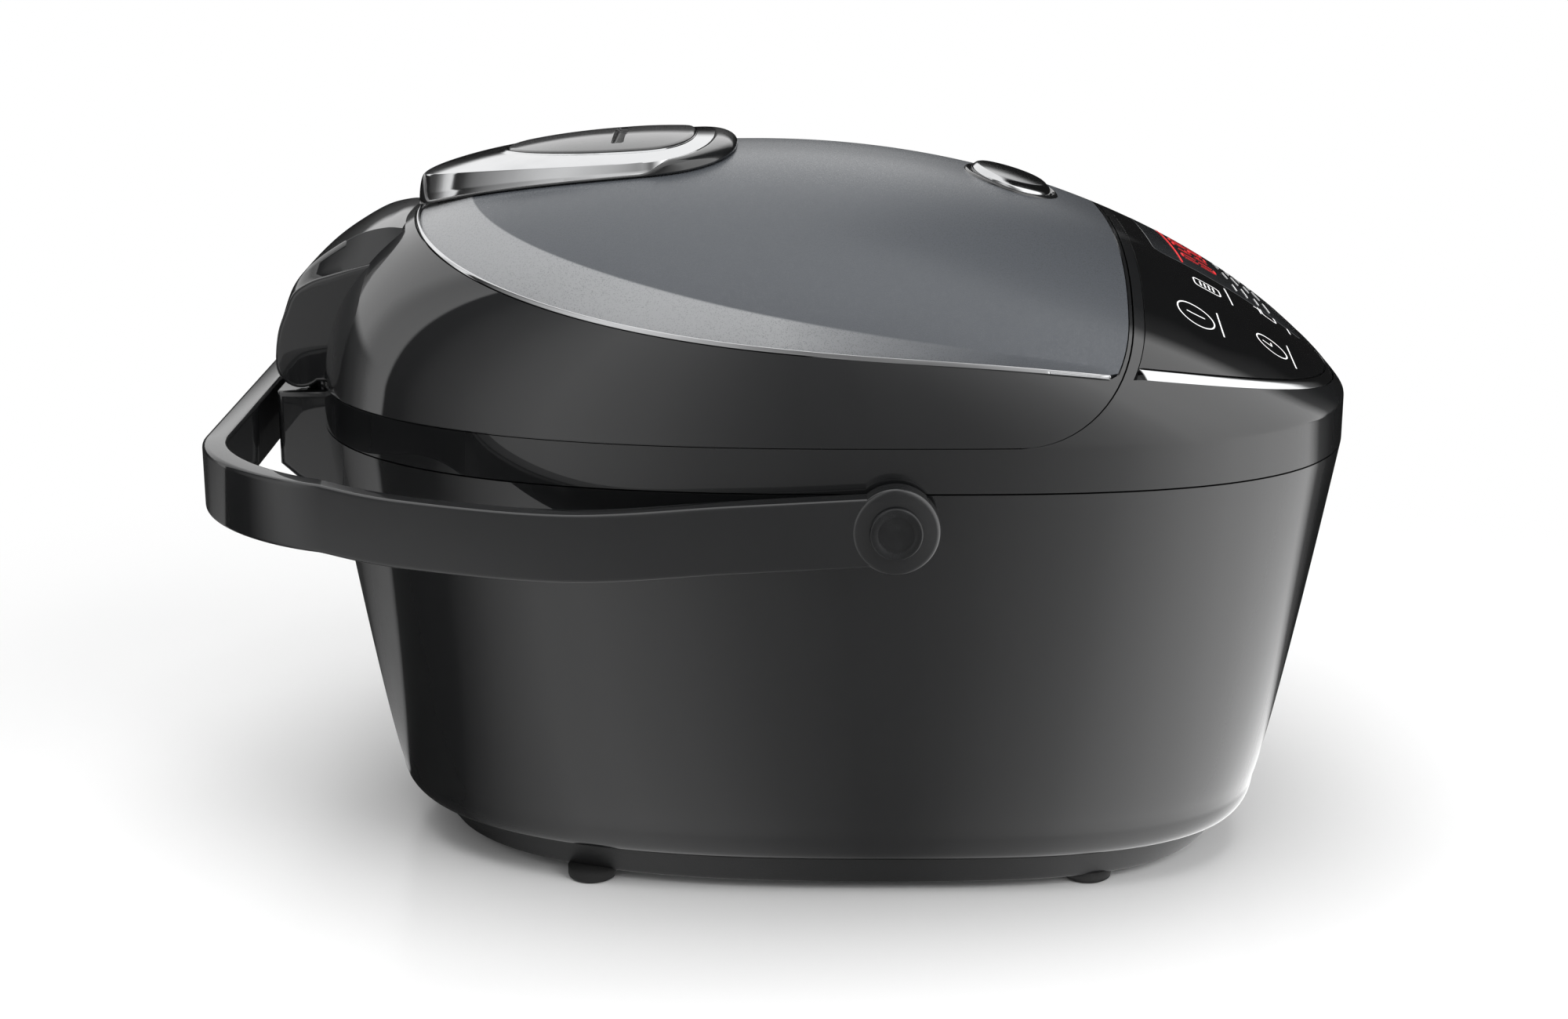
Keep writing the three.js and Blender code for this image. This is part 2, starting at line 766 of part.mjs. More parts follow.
const panelPlan = (inset, margin) => cut(panelPrism(inset, lidSplitZ - shellWall, topReachZ),
  lidRegion(seamHalf + glassBezel + margin));
const glassInset = panelStripWidth + fitGap * 2;
const glassSkin = cut(crownSolid(0, 0, lidSplitZ - shellWall), aboveCrown(glassThick));
const glass = cut(keep(glassSkin, panelPlan(glassInset, fitGap)), windowBlock(fitGap));
add('panel_glass', glass, 0x08080a, 0.05, 0);

const display = cut(
  keep(crownSolid(windowSink, windowSink, lidSplitZ - shellWall), windowBlock(0)),
  aboveCrown(glassThick),
);
add('display_window', display, 0x1c1d20, 0.08, 0);

const stripInner = panelPrism(glassInset - fitGap, lidSplitZ - overrun, topReachZ + overrun);
const strip = cut(keep(glassSkin, panelPlan(fitGap, fitGap)), stripInner);
add('panel_strip', strip, 0xc8cacd, 0.15, 1);

// Electronics under the control panel

const boardTop = boardZ + boardThick;
const controlBoard = block(-boardHalfWidth, boardHalfWidth, boardFrontY, boardRearY, boardZ, boardTop);
add('control_board', controlBoard, 0x1f5a34, 0.6, 0);

const displayModule = keep(
  block(-moduleHalfWidth + overrun, moduleHalfWidth - overrun, moduleFrontY, moduleRearY,
    boardTop + fitGap, topReachZ),
  crownSolid(glassThick + fitGap, glassThick + fitGap, housingTopZ),
);
add('display_module', displayModule, 0x2a2b2e, 0.5, 0);

// Liner round the pot, heater plate and the sprung temperature sensor

const linerTopZ = lidSplitZ - deckThick - fitGap;
const pitOuter = (gap) => [
  [potFloorRadius + gap, potFloorZ - gap],
  [
    potWaistRadius - (potWaistRadius - potFloorRadius) * potKneeShare + gap,
    potFloorZ + (potWaistZ - potFloorZ) * potKneeShare,
  ],
  [potWaistRadius + gap, potWaistZ],
];
const linerShare = (linerTopZ - potWaistZ) / (potRimZ - potRimThick - potWaistZ);
const linerMouth = potWaistRadius + (potMouthRadius - potWaistRadius) * linerShare + linerGap;
const [, linerKnee, linerWaist] = pitOuter(linerGap);
const linerFloorTop = linerFloorZ + linerWall;
const liner = turned([
  [sensorCupRadius - linerWall - fitGap, linerFloorZ],
  [heaterRadius + linerGap, linerFloorZ],
  [linerKnee[0] + linerWall, linerKnee[1]],
  [linerWaist[0] + linerWall, linerWaist[1]],
  [linerMouth + linerWall, linerTopZ - linerWall],
  [linerMouth + linerFlange, linerTopZ - linerWall],
  [linerMouth + linerFlange, linerTopZ],
  [linerMouth, linerTopZ],
  linerWaist,
  linerKnee,
  [heaterRadius + linerGap - linerWall, linerFloorTop],
  [sensorCupRadius - linerWall - fitGap, linerFloorTop],
], 0, potY);
add('pot_liner', liner, 0xb4b6b9, 0.35, 0.9);

const heaterTop = potFloorZ - fitGap;
const heater = turned([
  [sensorHoleRadius, heaterTop - heaterThick],
  [heaterRadius - heaterRimThick, heaterTop - heaterThick],
  [heaterRadius - heaterRimThick, heaterTop - heaterRimThick],
  [heaterRadius, heaterTop - heaterRimThick],
  [potFloorRadius, heaterTop],
  [sensorHoleRadius, heaterTop],
], 0, potY);
add('heater_plate', heater, 0x9b9da0, 0.5, 0.9);

const cupTop = linerFloorZ - fitGap;
const cupFloor = cupTop - sensorCupDepth;
const sensorCup = turned([
  [sensorStemRadius + slideGap, cupFloor],
  [sensorCupRadius, cupFloor],
  [sensorCupRadius, cupTop],
  [sensorCupRadius - linerWall, cupTop],
  [sensorCupRadius - linerWall, cupFloor + linerWall],
  [sensorStemRadius + slideGap, cupFloor + linerWall],
], 0, potY, smallSteps);
add('sensor_cup', sensorCup, 0xa6a8ab, 0.4, 0.9);

const sensorTop = heaterTop;
const sensorSeat = sensorTop - sensorCapThick;
const sensor = turned([
  [0, sensorTop - sensorStemLength],
  [sensorStemRadius, sensorTop - sensorStemLength],
  [sensorStemRadius, sensorSeat],
  [sensorRadius, sensorSeat],
  [sensorRadius, sensorTop],
  [0, sensorTop],
], 0, potY, smallSteps);
add('temperature_sensor', sensor, 0xc0c2c4, 0.3, 0.9);

const springFoot = cupFloor + linerWall + fitGap + sensorSpringWire / 2;
const springHead = sensorSeat - fitGap - sensorSpringWire / 2;
add('sensor_spring', coil(sensorSpringRadius, sensorSpringWire, springHead - springFoot, sensorSpringTurns,
  'z', 0, potY, springFoot), 0x9fa1a4, 0.3, 1);

// Inner pot with a rolled flat rim

const potOuter = pitOuter(0);
const potTop = potRimZ - potRimThick;
const potShell = turned([
  [0, potFloorZ],
  ...potOuter,
  [potMouthRadius, potTop],
  [potRimRadius, potTop],
  [potRimRadius, potRimZ],
  [potMouthRadius - potWall, potRimZ],
  [potWaistRadius - potWall, potWaistZ],
  [potOuter[1][0] - potWall, potOuter[1][1] + potWall / 2],
  [potFloorRadius - potWall, potFloorZ + potWall],
  [0, potFloorZ + potWall],
], 0, potY);
add('inner_pot', potShell, 0x3a3b3e, 0.55, 0.4);

// Power inlet with its pins, the power board and the wiring

const inletSocket = cut(
  block(-inletHalfWidth, inletHalfWidth, inletFaceY - inletDepth + fitGap, inletFaceY,
    inletZ - inletHalfHeight, inletZ + inletHalfHeight),
  block(-inletHalfWidth + inletWall, inletHalfWidth - inletWall, inletFaceY - inletDepth + inletWall * 2,
    inletFaceY + overrun, inletZ - inletHalfHeight + inletWall, inletZ + inletHalfHeight - inletWall),
);
add('power_inlet', inletSocket, 0x151517, 0.5, 0);
for (let i = 0; i < 3; i += 1) {
  const x = (i - 1) * inletPinPitch;
  const z = inletZ + (i === 1 ? inletPinWidth : -inletPinWidth) * 0.75;
  const rootY = inletFaceY - inletDepth + inletWall * 2 + fitGap;
  const pin = block(x - inletPinWidth / 2, x + inletPinWidth / 2, rootY, rootY + inletPinLength,
    z - inletPinHeight / 2, z + inletPinHeight / 2);
  add(`inlet_pin_${i + 1}`, pin, 0xc9b37a, 0.3, 1);
}

let powerBoard = block(-powerBoardHalfWidth, powerBoardHalfWidth, powerBoardFrontY, powerBoardRearY,
  powerBoardZ, powerBoardZ + boardThick);
const boardMiddleY = (powerBoardFrontY + powerBoardRearY) / 2;
powerBoard = join(powerBoard, block(
  coilBoxX - coilBoxSize / 2,
  coilBoxX + coilBoxSize / 2,
  boardMiddleY - coilBoxSize / 2,
  boardMiddleY + coilBoxSize / 2,
  powerBoardZ,
  powerBoardZ + coilBoxSize,
));
for (let i = 0; i < 2; i += 1) {
  powerBoard = join(powerBoard, disc(capacitorRadius, capacitorX + i * capacitorPitch, boardMiddleY,
    powerBoardZ, powerBoardZ + capacitorHeight, smallSteps));
}
add('power_board', powerBoard, 0x2c5d3a, 0.6, 0);

const wirePath = new THREE.CatmullRomCurve3([
  new THREE.Vector3(0, inletFaceY - inletDepth - fitGap, inletZ),
  new THREE.Vector3(0, inletFaceY - inletDepth - wireRadius * 3, inletZ),
  new THREE.Vector3(heaterRadius / 2, potY + heaterRadius, wireZ),
  new THREE.Vector3(heaterRadius, potY, wireZ),
  new THREE.Vector3(powerBoardHalfWidth, powerBoardRearY / 2, wireZ),
  new THREE.Vector3(powerBoardHalfWidth * 0.8, powerBoardRearY - wireRadius * 3, wireZ),
]);
add('wiring', solid(tube(wirePath, wireRadius, 8, 20)), 0x7a2320, 0.6, 0);

// Lid: shell, grey top panel, bright line, inner frame, seal and inner plate

const lidMass = keep(crownSolid(0, 0, housingTopZ), lidRegion(-seamHalf));
const topPanelPlan = (inset) => {
  const halfWidth = topPanelHalfWidth - inset;
  const length = topPanelRearY - inset - topPanelWideY;
  const frontY = -lidFrontSide - lidFrontBow - overrun;
  const power = 2 / topPanelSquareness;
  const arcSteps = 10;
  const sideSteps = 3;
  const points = [];
  for (let i = -arcSteps; i <= arcSteps; i += 1) {
    const angle = (i / arcSteps) * (Math.PI / 2);
    const y = topPanelWideY + length * powerOf(Math.max(0, Math.cos(angle)), power);
    points.push([halfWidth * powerOf(Math.sin(angle), power), y]);
  }
  for (let i = 1; i <= sideSteps; i += 1) {
    const y = topPanelWideY + (frontY - topPanelWideY) * (i / sideSteps);
    const x = halfWidth * (halfWidthAt(y) / halfWidthAt(topPanelWideY));
    points.push([x, y]);
    points.unshift([-x, y]);
  }
  const ring = (z) => points.map(([x, y]) => new THREE.Vector3(x, y, z));
  return stack([ring(lidSplitZ - overrun), ring(topReachZ)]);
};
const stemHole = disc(stemRadius + slideGap, 0, stemY, lidSplitZ - overrun, topReachZ, smallSteps);
const sealHole = disc(stemSealRadius + slideGap, 0, stemY, lidSplitZ - overrun, topReachZ, smallSteps);
const bezelOuterX = buttonHalfX + bezelWall;
const bezelOuterY = buttonHalfY + bezelWall;
const bezelHole = ovalPrism(bezelOuterX + fitGap, bezelOuterY + fitGap, buttonY, lidSplitZ, topReachZ,
  roundSteps);
const knuckleSpace = (clear) => join(
  crossRod(knuckleRadius + clear, -knuckleHalfWidth, knuckleHalfWidth, pinY, pinZ),
  block(-knuckleHalfWidth, knuckleHalfWidth, pinY, bodyRear + bodyFront, lidSplitZ - bodyRear, pinZ),
  block(-knuckleHalfWidth, knuckleHalfWidth, pinY - knuckleRadius - clear, pinY + fitGap,
    lidSplitZ - bodyRear, pinZ),
);
const lidShell = cut(
  lidMass,
  aboveCrown(lidTopWall),
  cut(topPanelPlan(-fitGap), aboveCrown(topPanelThick + fitGap)),
  sealHole,
  bezelHole,
  knuckleSpace(knuckleClear - knuckleRadius),
);
add('lid_shell', lidShell, 0x1b1c1f, 0.15, 0.1);

const topPanel = cut(
  keep(lidMass, topPanelPlan(trimWidth + fitGap), lidRegion(-seamHalf - fitGap)),
  aboveCrown(topPanelThick),
  sealHole,
  bezelHole,
);
add('lid_top_panel', topPanel, 0x65666c, 0.28, 0.4);

const lidTrim = cut(
  keep(lidMass, topPanelPlan(0)),
  topPanelPlan(trimWidth),
  aboveCrown(trimThick),
);
add('lid_trim', lidTrim, 0xd4d6d8, 0.12, 1);

const sealTop = lidSplitZ + seamHalf + sealHeight * 0.75;
const sealRing = (gap, zLow, zHigh) => turned([
  [sealInnerRadius - gap, zLow],
  [sealOuterRadius + gap, zLow],
  [sealOuterRadius + gap, zHigh],
  [sealInnerRadius - gap, zHigh],
], 0, potY);
const lidLiner = cut(
  keep(cut(lidRegion(-seamHalf), lidRegion(-seamHalf - linerLidThick)),
    crownSolid(lidTopWall + fitGap, lidTopWall + fitGap, housingTopZ)),
  disc(lidMouthRadius, 0, potY, housingTopZ, topReachZ),
  sealRing(fitGap, housingTopZ, sealTop + fitGap),
  latchSlot(slideGap),
);
add('lid_inner_frame', lidLiner, 0x232427, 0.4, 0);

const lidSeal = turned([
  [sealInnerRadius, sealTop - sealHeight],
  [sealOuterRadius, sealTop - sealHeight],
  [sealOuterRadius, sealTop],
  [sealInnerRadius, sealTop],
], 0, potY);
add('lid_seal', lidSeal, 0xc9c9c6, 0.7, 0);

const plateRadius = lidMouthRadius - fitGap;
const plateLow = lidSplitZ + seamHalf + fitGap;
const plateHigh = plateLow + innerPlateThick;
const innerPlate = cut(
  turned([
    [0, plateLow + innerPlateDish],
    [plateRadius - innerPlateRim * 2, plateLow + innerPlateDish],
    [plateRadius - innerPlateRim, plateLow],
    [plateRadius, plateLow],
    [plateRadius, plateHigh],
    [plateRadius - innerPlateRim, plateHigh],
    [plateRadius - innerPlateRim * 2, plateHigh + innerPlateDish],
    [0, plateHigh + innerPlateDish],
  ], 0, potY),
  stemHole,
);
add('inner_lid_plate', innerPlate, 0xb9bbbe, 0.3, 0.9);

// Hinge: cover on the lid, pin, spring and the bracket on the housing

const hingeArc = (z) => Math.sqrt(hingeReach ** 2 - (z - handleZ) ** 2);
const hingeProfile = [[hingeStartY, hingeStartZ], [hingeRidgeY, hingeRidgeZ]];
hingeProfile.push([hingeArc(hingeTopZ), hingeTopZ]);
const hingeArcSteps = 5;
for (let i = 1; i <= hingeArcSteps; i += 1) {
  const z = hingeTopZ + (pinZ - hingeTopZ) * (i / hingeArcSteps);
  hingeProfile.push([hingeArc(z), z]);
}
const lowerReach = hingeArc(pinZ) - pinY;
for (let i = 1; i <= hingeArcSteps; i += 1) {
  const angle = (i / hingeArcSteps) * (Math.PI / 2);
  hingeProfile.push([pinY + lowerReach * Math.cos(angle), pinZ - knuckleRadius * Math.sin(angle)]);
}
const noseRadius = knuckleRadius - slideGap;
const noseAngle = Math.acos((pinZ - lidSplitZ - seamHalf) / noseRadius);
const noseSteps = 3;
for (let i = 1; i <= noseSteps; i += 1) {
  const angle = (i / noseSteps) * noseAngle;
  hingeProfile.push([pinY - noseRadius * Math.sin(angle), pinZ - noseRadius * Math.cos(angle)]);
}
hingeProfile.push([hingeStartY, lidSplitZ + seamHalf]);
const bevelFrame = stack([
  hingeProfile.map(([y, z]) => new THREE.Vector3(-hingeHalfWidth, y - hingeBevel, z - hingeBevel)),
  hingeProfile.map(([y, z]) => new THREE.Vector3(-hingeHalfWidth + hingeBevel, y, z)),
  hingeProfile.map(([y, z]) => new THREE.Vector3(hingeHalfWidth - hingeBevel, y, z)),
  hingeProfile.map(([y, z]) => new THREE.Vector3(hingeHalfWidth, y - hingeBevel, z - hingeBevel)),
]);
const pinHalf = hingeHalfWidth - pinEnd;
const hingeCover = cut(
  join(bevelFrame, sideBlock(hingeProfile.map(([y, z]) => [y, z]), -hingeHalfWidth + hingeBevel,
    hingeHalfWidth - hingeBevel)),
  crownSolid(-slideGap, -slideGap, housingTopZ),
  knuckleSpace(fitGap),
  crossRod(pinRadius + fitGap, -pinHalf - fitGap, pinHalf + fitGap, pinY, pinZ),
  block(-hingeHalfWidth, hingeHalfWidth, hingeStartY, pinY + bodyRear, housingTopZ - overrun,
    pinZ - knuckleRadius),
  block(-hingeHalfWidth, hingeHalfWidth, hingeStartY - hingeBevel, pinY - noseRadius * Math.sin(noseAngle),
    housingTopZ - overrun, lidSplitZ + seamHalf),
);
add('hinge_cover', hingeCover, 0x202124, 0.2, 0.1);

add('hinge_pin', crossRod(pinRadius, -pinHalf, pinHalf, pinY, pinZ), 0xb7b9bc, 0.3, 1);

const springHalf = hingeSpringLength / 2;
add('hinge_spring', coil(hingeSpringRadius, hingeSpringWire, hingeSpringLength, hingeSpringTurns, 'x',
  -springHalf, pinY, pinZ), 0x9fa1a4, 0.3, 1);

const coverTop = pinZ - knuckleRadius - seamGap;
const lowerProfile = [
  [bodyRear - shellWall * 3, coverTop],
  [coverRearY, coverTop],
  [coverRearY, coverBendZ],
  [coverFootY, coverFootZ],
  [bodyRear - bodyHalfWidth / 4, coverFootZ],
];
const housingOuter = housingSolid(-slideGap, baseTopZ + seamHalf, housingTopZ - seamHalf);
const collarOuter = bodyPrism(-slideGap, housingTopZ - seamHalf, lidSplitZ + overrun);
let bracket = cut(sideBlock(lowerProfile, -hingeHalfWidth, hingeHalfWidth), housingOuter, collarOuter);
for (const side of [-1, 1]) {
  const near = side * lugX;
  const far = side * (lugX + lugWidth);
  const [xLow, xHigh] = [Math.min(near, far), Math.max(near, far)];
  const neck = block(xLow, xHigh, bodyRear + slideGap * 3, pinY, coverTop - overrun, pinZ);
  bracket = join(bracket, neck, crossRod(lugRadius, xLow, xHigh, pinY, pinZ));
}
bracket = cut(bracket, crossRod(pinRadius + fitGap, -pinHalf, pinHalf, pinY, pinZ));
add('hinge_bracket', bracket, 0x1b1c1f, 0.2, 0.1);

// Carry handle: two arms and a rear bar swept as one bevelled section

const armX = handleInnerX + handleThick / 2;
const barY = handleBarY + handleThick / 2;
const cornerX = armX - handleCornerRadius;
const cornerY = barY - handleCornerRadius;
const armCurve = new THREE.CatmullRomCurve3([
  new THREE.Vector3(armX, handleY, handleZ),
  new THREE.Vector3(armX, handleDipY / 2, (handleZ + handleDipZ) / 2),
  new THREE.Vector3(armX, handleDipY, handleDipZ),
  new THREE.Vector3(armX, handleRiseY, handleRiseZ),
  new THREE.Vector3(armX, cornerY, (handleRiseZ + handleBarZ) / 2),
]);
const armSteps = 9;
const cornerSteps = 5;
const halfPath = armCurve.getPoints(armSteps).map((p) => [p.x, p.y, p.z, 0]);
const cornerStartZ = (handleRiseZ + handleBarZ) / 2;
for (let i = 1; i <= cornerSteps; i += 1) {
  const angle = (i / cornerSteps) * (Math.PI / 2);
  halfPath.push([
    cornerX + handleCornerRadius * Math.cos(angle),
    cornerY + handleCornerRadius * Math.sin(angle),
    cornerStartZ + (handleBarZ - cornerStartZ) * Math.sin(angle),
    angle,
  ]);
}
const mirrored = [...halfPath].reverse().map(([x, y, z, angle]) => [-x, y, z, Math.PI - angle]);
const halfT = handleThick / 2;
const section = [[1, -1, 1], [1, 1, 1], [1, 1, 0], [-1, 1, 0], [-1, 1, 1], [-1, -1, 1], [-1, -1, 0], [1, -1, 0]];
const handleRings = [...halfPath, ...mirrored].map(([x, y, z, angle]) => {
  const toBar = Math.min(1, Math.max(0, (y - handleDipY) / (barY - handleDipY)));
  const halfH = (handleHeight + (handleBarHeight - handleHeight) * toBar) / 2;
  return section.map(([outSide, upSide, onFace]) => {
    const out = outSide * (halfT - (onFace ? 0 : handleBevel));
    const up = upSide * (halfH - (onFace ? handleBevel : 0));
    return new THREE.Vector3(x + out * Math.cos(angle), y + out * Math.sin(angle), z + up);
  });
});
let handle = stack(handleRings);
const armOuterX = handleInnerX + handleThick;
handle = join(handle,
  crossRod(handleBossRadius, handleInnerX, armOuterX, handleY, handleZ, smallSteps),
  crossRod(handleBossRadius, -armOuterX, -handleInnerX, handleY, handleZ, smallSteps));
const handleReach = armOuterX + overrun;
handle = cut(handle, crossRod(pivotRadius + slideGap, -handleReach, handleReach, handleY, handleZ));
add('carry_handle', handle, 0x1b1c1f, 0.2, 0.1);

const wallAtPivot = housingRing(handleZ + pivotCollarRadius, 0).reduce((most, p) => Math.max(most, p.x), 0);
[['left', -1], ['right', 1]].forEach(([word, side]) => {
  const span = (a, b) => [Math.min(side * a, side * b), Math.max(side * a, side * b)];
  const headStart = armOuterX + slideGap;
  const headEnd = headStart + pivotHeadThick;
  const pivot = join(
    crossRod(pivotRadius, ...span(wallAtPivot - shellWall * 2, headEnd), handleY, handleZ),
    crossRod(pivotHeadRadius, ...span(headStart, headEnd), handleY, handleZ),
    crossRod(pivotCollarRadius, ...span(wallAtPivot + slideGap, handleInnerX - slideGap), handleY, handleZ),
  );
  add(`handle_pivot_${word}`, pivot, 0x242528, 0.3, 0.2);
});

// Release button in its bezel, with its spring and the latch that it draws back

const bezelLow = crownHeight(0, buttonY) - bezelDepth;
const ovalPatch = (halfX, halfY, low, high) => crownPatch(ovalRing(halfX, halfY, 0, buttonY, 0, roundSteps),
  buttonY, () => low, () => high);
const bezelCup = keep(
  ovalPatch(bezelOuterX, bezelOuterY, -bezelDepth * 2, bezelRise),
  ovalPrism(bezelOuterX + overrun, bezelOuterY + overrun, buttonY, bezelLow, topReachZ),
);
const bezel = cut(
  bezelCup,
  ovalPrism(buttonHalfX + slideGap, buttonHalfY + slideGap, buttonY, bezelLow + bezelFloor, topReachZ,
    roundSteps),
  disc(latchHalfWidth / 2, 0, buttonY, bezelLow - overrun, bezelLow + bezelFloor + overrun, smallSteps),
);
add('button_bezel', bezel, 0x17181a, 0.12, 0.1);

const buttonShape = crownPatch(
  ovalRing(buttonHalfX, buttonHalfY, 0, buttonY, 0, roundSteps),
  buttonY,
  () => -buttonDepth,
  (share) => bezelRise * share + buttonRise * (1 - share ** 2),
);
add('release_button', buttonShape, 0xdfe0e2, 0.08, 1);

const buttonUnder = crownHeight(0, buttonY) - buttonDepth - (crownHeight(0, buttonY + buttonSpringRadius)
  - crownHeight(0, buttonY - buttonSpringRadius)) / 2;
const buttonSpringFoot = bezelLow + bezelFloor + fitGap + buttonSpringWire / 2;
const buttonSpringHead = buttonUnder - slideGap - buttonSpringWire / 2;
add('button_spring', coil(buttonSpringRadius, buttonSpringWire, buttonSpringHead - buttonSpringFoot,
  buttonSpringTurns, 'z', 0, buttonY, buttonSpringFoot), 0x9fa1a4, 0.3, 1);

const latchNose = latchHeight / 2;
const latch = sideBlock([
  [latchTipY + latchNose, latchZ],
  [latchTipY + latchLength, latchZ],
  [latchTipY + latchLength, latchZ + latchHeight],
  [latchTipY, latchZ + latchHeight],
  [latchTipY, latchZ + latchNose],
], -latchHalfWidth, latchHalfWidth);
add('latch_hook', latch, 0x3c3d40, 0.4, 0.6);

// Lift-off steam valve: skirt with its stem, bright plate, dark cap with a steam slot, seal

function valveRing(inset) {
  const ring = ovalRing(valveHalfWidth - inset, valveHalfLength - inset, 0, valveY, 0, roundSteps,
    valveSquareness);
  return ring.map((p) => {
    const along = (p.y - valveY) / valveHalfLength;
    return new THREE.Vector3(p.x * (1 - valveTaperShare * along), p.y, 0);
  });
}
const rearLift = (y) => valveRearLift * Math.max(0, 1 - (valveRearY - y) / valveLiftLength) ** 2;
const skirtHigh = (share, x, y) => slideGap + valveSkirt + rearLift(y);
const plateLowRise = (share, x, y) => skirtHigh(share, x, y) + fitGap;
let valveBase = crownPatch(valveRing(0), valveY, () => slideGap, skirtHigh);
const stemTop = crownHeight(0, stemY) + fitGap;
valveBase = join(valveBase, disc(stemRadius, 0, stemY, stemBottomZ, stemTop, smallSteps));
valveBase = cut(valveBase, disc(stemRadius - stemWall, 0, stemY, stemBottomZ - overrun, stemTop - valveSkirt, smallSteps));
const sealGroove = (gap) => turned([
  [stemRadius - stemSealHeight / 2 - gap, stemSealZ - gap],
  [stemSealRadius + gap, stemSealZ - gap],
  [stemSealRadius + gap, stemSealZ + stemSealHeight + gap],
  [stemRadius - stemSealHeight / 2 - gap, stemSealZ + stemSealHeight + gap],
], 0, stemY, smallSteps);
valveBase = cut(valveBase, sealGroove(fitGap), crownPatch(valveRing(0), valveY, skirtHigh,
  (share, x, y) => skirtHigh(share, x, y) + valveHalfWidth));
add('valve_base', valveBase, 0x151618, 0.12, 0.1);
add('valve_seal', sealGroove(0), 0xb8b8b4, 0.7, 0);

const plateTopRise = (share, x, y) => plateLowRise(share, x, y) + valveEdge
  + valveCrown * (1 - share ** sidePower);
const capTopRise = (share, x, y) => plateTopRise(share, x, y) + valveCapRise;
const plateFull = crownPatch(valveRing(valveSkirtInset), valveY, plateLowRise, plateTopRise);
const capPrism = (gap) => ovalPrism(valveCapHalfWidth + gap, valveCapHalfLength + gap, valveCapY,
  lidSplitZ, topReachZ, roundSteps);
add('valve_plate', cut(plateFull, capPrism(fitGap)), 0xd8dadc, 0.12, 1);

const capFull = crownPatch(valveRing(valveSkirtInset), valveY, plateLowRise, capTopRise);
const slotTop = crownHeight(0, valveSlotY) + capTopRise(0, 0, valveSlotY);
const slotBlock = block(-valveSlotHalfLength, valveSlotHalfLength, valveSlotY - valveSlotWidth / 2,
  valveSlotY + valveSlotWidth / 2, slotTop - valveSlotDepth, topReachZ);
add('valve_cap', cut(keep(capFull, capPrism(0)), slotBlock), 0x121315, 0.1, 0.1);

// The origin sits under the middle of the part, on the surface that it stands on
group.position.y = -(handleBarY + handleThick - bodyFront) / 2;

export default group;
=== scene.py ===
# A glossy countertop multicooker with a domed hinged lid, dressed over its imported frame.
# Metres, +Z up, the front with the touch panel faces -Y and the lid hinge is at +Y.
import json
import math
import bpy
import bmesh
from mathutils import Matrix, Vector


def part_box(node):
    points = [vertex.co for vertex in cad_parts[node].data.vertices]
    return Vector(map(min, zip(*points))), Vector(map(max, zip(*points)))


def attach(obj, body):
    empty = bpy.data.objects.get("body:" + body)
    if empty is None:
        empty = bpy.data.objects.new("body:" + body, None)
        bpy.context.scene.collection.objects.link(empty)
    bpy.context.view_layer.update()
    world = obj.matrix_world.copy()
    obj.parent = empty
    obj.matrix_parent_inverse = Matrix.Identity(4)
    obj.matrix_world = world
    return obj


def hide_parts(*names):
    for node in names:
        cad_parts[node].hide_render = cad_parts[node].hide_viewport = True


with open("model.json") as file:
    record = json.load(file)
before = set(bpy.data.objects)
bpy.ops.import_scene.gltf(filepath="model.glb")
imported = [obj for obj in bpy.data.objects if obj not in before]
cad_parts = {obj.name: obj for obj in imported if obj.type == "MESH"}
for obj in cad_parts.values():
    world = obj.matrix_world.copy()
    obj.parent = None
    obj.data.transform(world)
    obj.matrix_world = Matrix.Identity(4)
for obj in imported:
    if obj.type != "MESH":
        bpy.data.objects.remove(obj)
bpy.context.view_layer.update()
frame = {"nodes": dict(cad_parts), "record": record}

# Sizes read from the frame

housing_low, housing_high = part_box("lower_housing")
collar_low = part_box("collar")[0]
lid_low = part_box("lid_shell")[0]
pot_low, pot_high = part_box("inner_pot")
pivot_low, pivot_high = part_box("handle_pivot_left")
handle_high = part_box("carry_handle")[1]
base_low, base_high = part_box("base_pan")
bracket_low, bracket_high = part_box("hinge_bracket")
cover_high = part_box("hinge_cover")[1]
pin_low, pin_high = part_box("hinge_pin")
button_low, button_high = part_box("release_button")
bezel_low, bezel_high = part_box("button_bezel")
valve_low, valve_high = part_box("valve_base")
cap_low, cap_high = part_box("valve_cap")
inlet_low, inlet_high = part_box("power_inlet")
window_low, window_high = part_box("display_window")
lining_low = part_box("lid_inner_frame")[0]

SEAM = 0.0006
FIT = 0.0003
HALF_WIDTH = housing_high.x
WIDE_Y = (pivot_low.y + pivot_high.y) / 2
FRONT = WIDE_Y - housing_low.y
REAR = housing_high.y - WIDE_Y
POT_Y = (pot_low.y + pot_high.y) / 2
POT_RADIUS = (pot_high.x - pot_low.x) / 2
PIVOT_Z = (pivot_low.z + pivot_high.z) / 2
PIN_Y, PIN_Z = (pin_low.y + pin_high.y) / 2, (pin_low.z + pin_high.z) / 2
HOUSING_TOP = housing_high.z + SEAM / 2
SPLIT_Z = lid_low.z - SEAM / 2
WALL = 0.003

# Shape of the outline in plan and of the crown over it

FRONT_POWER = 3.1
REAR_POWER = 2.6
CROWN_RISE = 0.0823
CREST_Y = WIDE_Y + 0.05
CREST_FRONT_POWER, CREST_FRONT_END = 2.1, 1.18
CREST_REAR_POWER, CREST_REAR_END = 2.4, 2.5
SIDE_POWER, SIDE_END = 2.5, 1.5

# Lid seam, top insert and touch panel, in plan

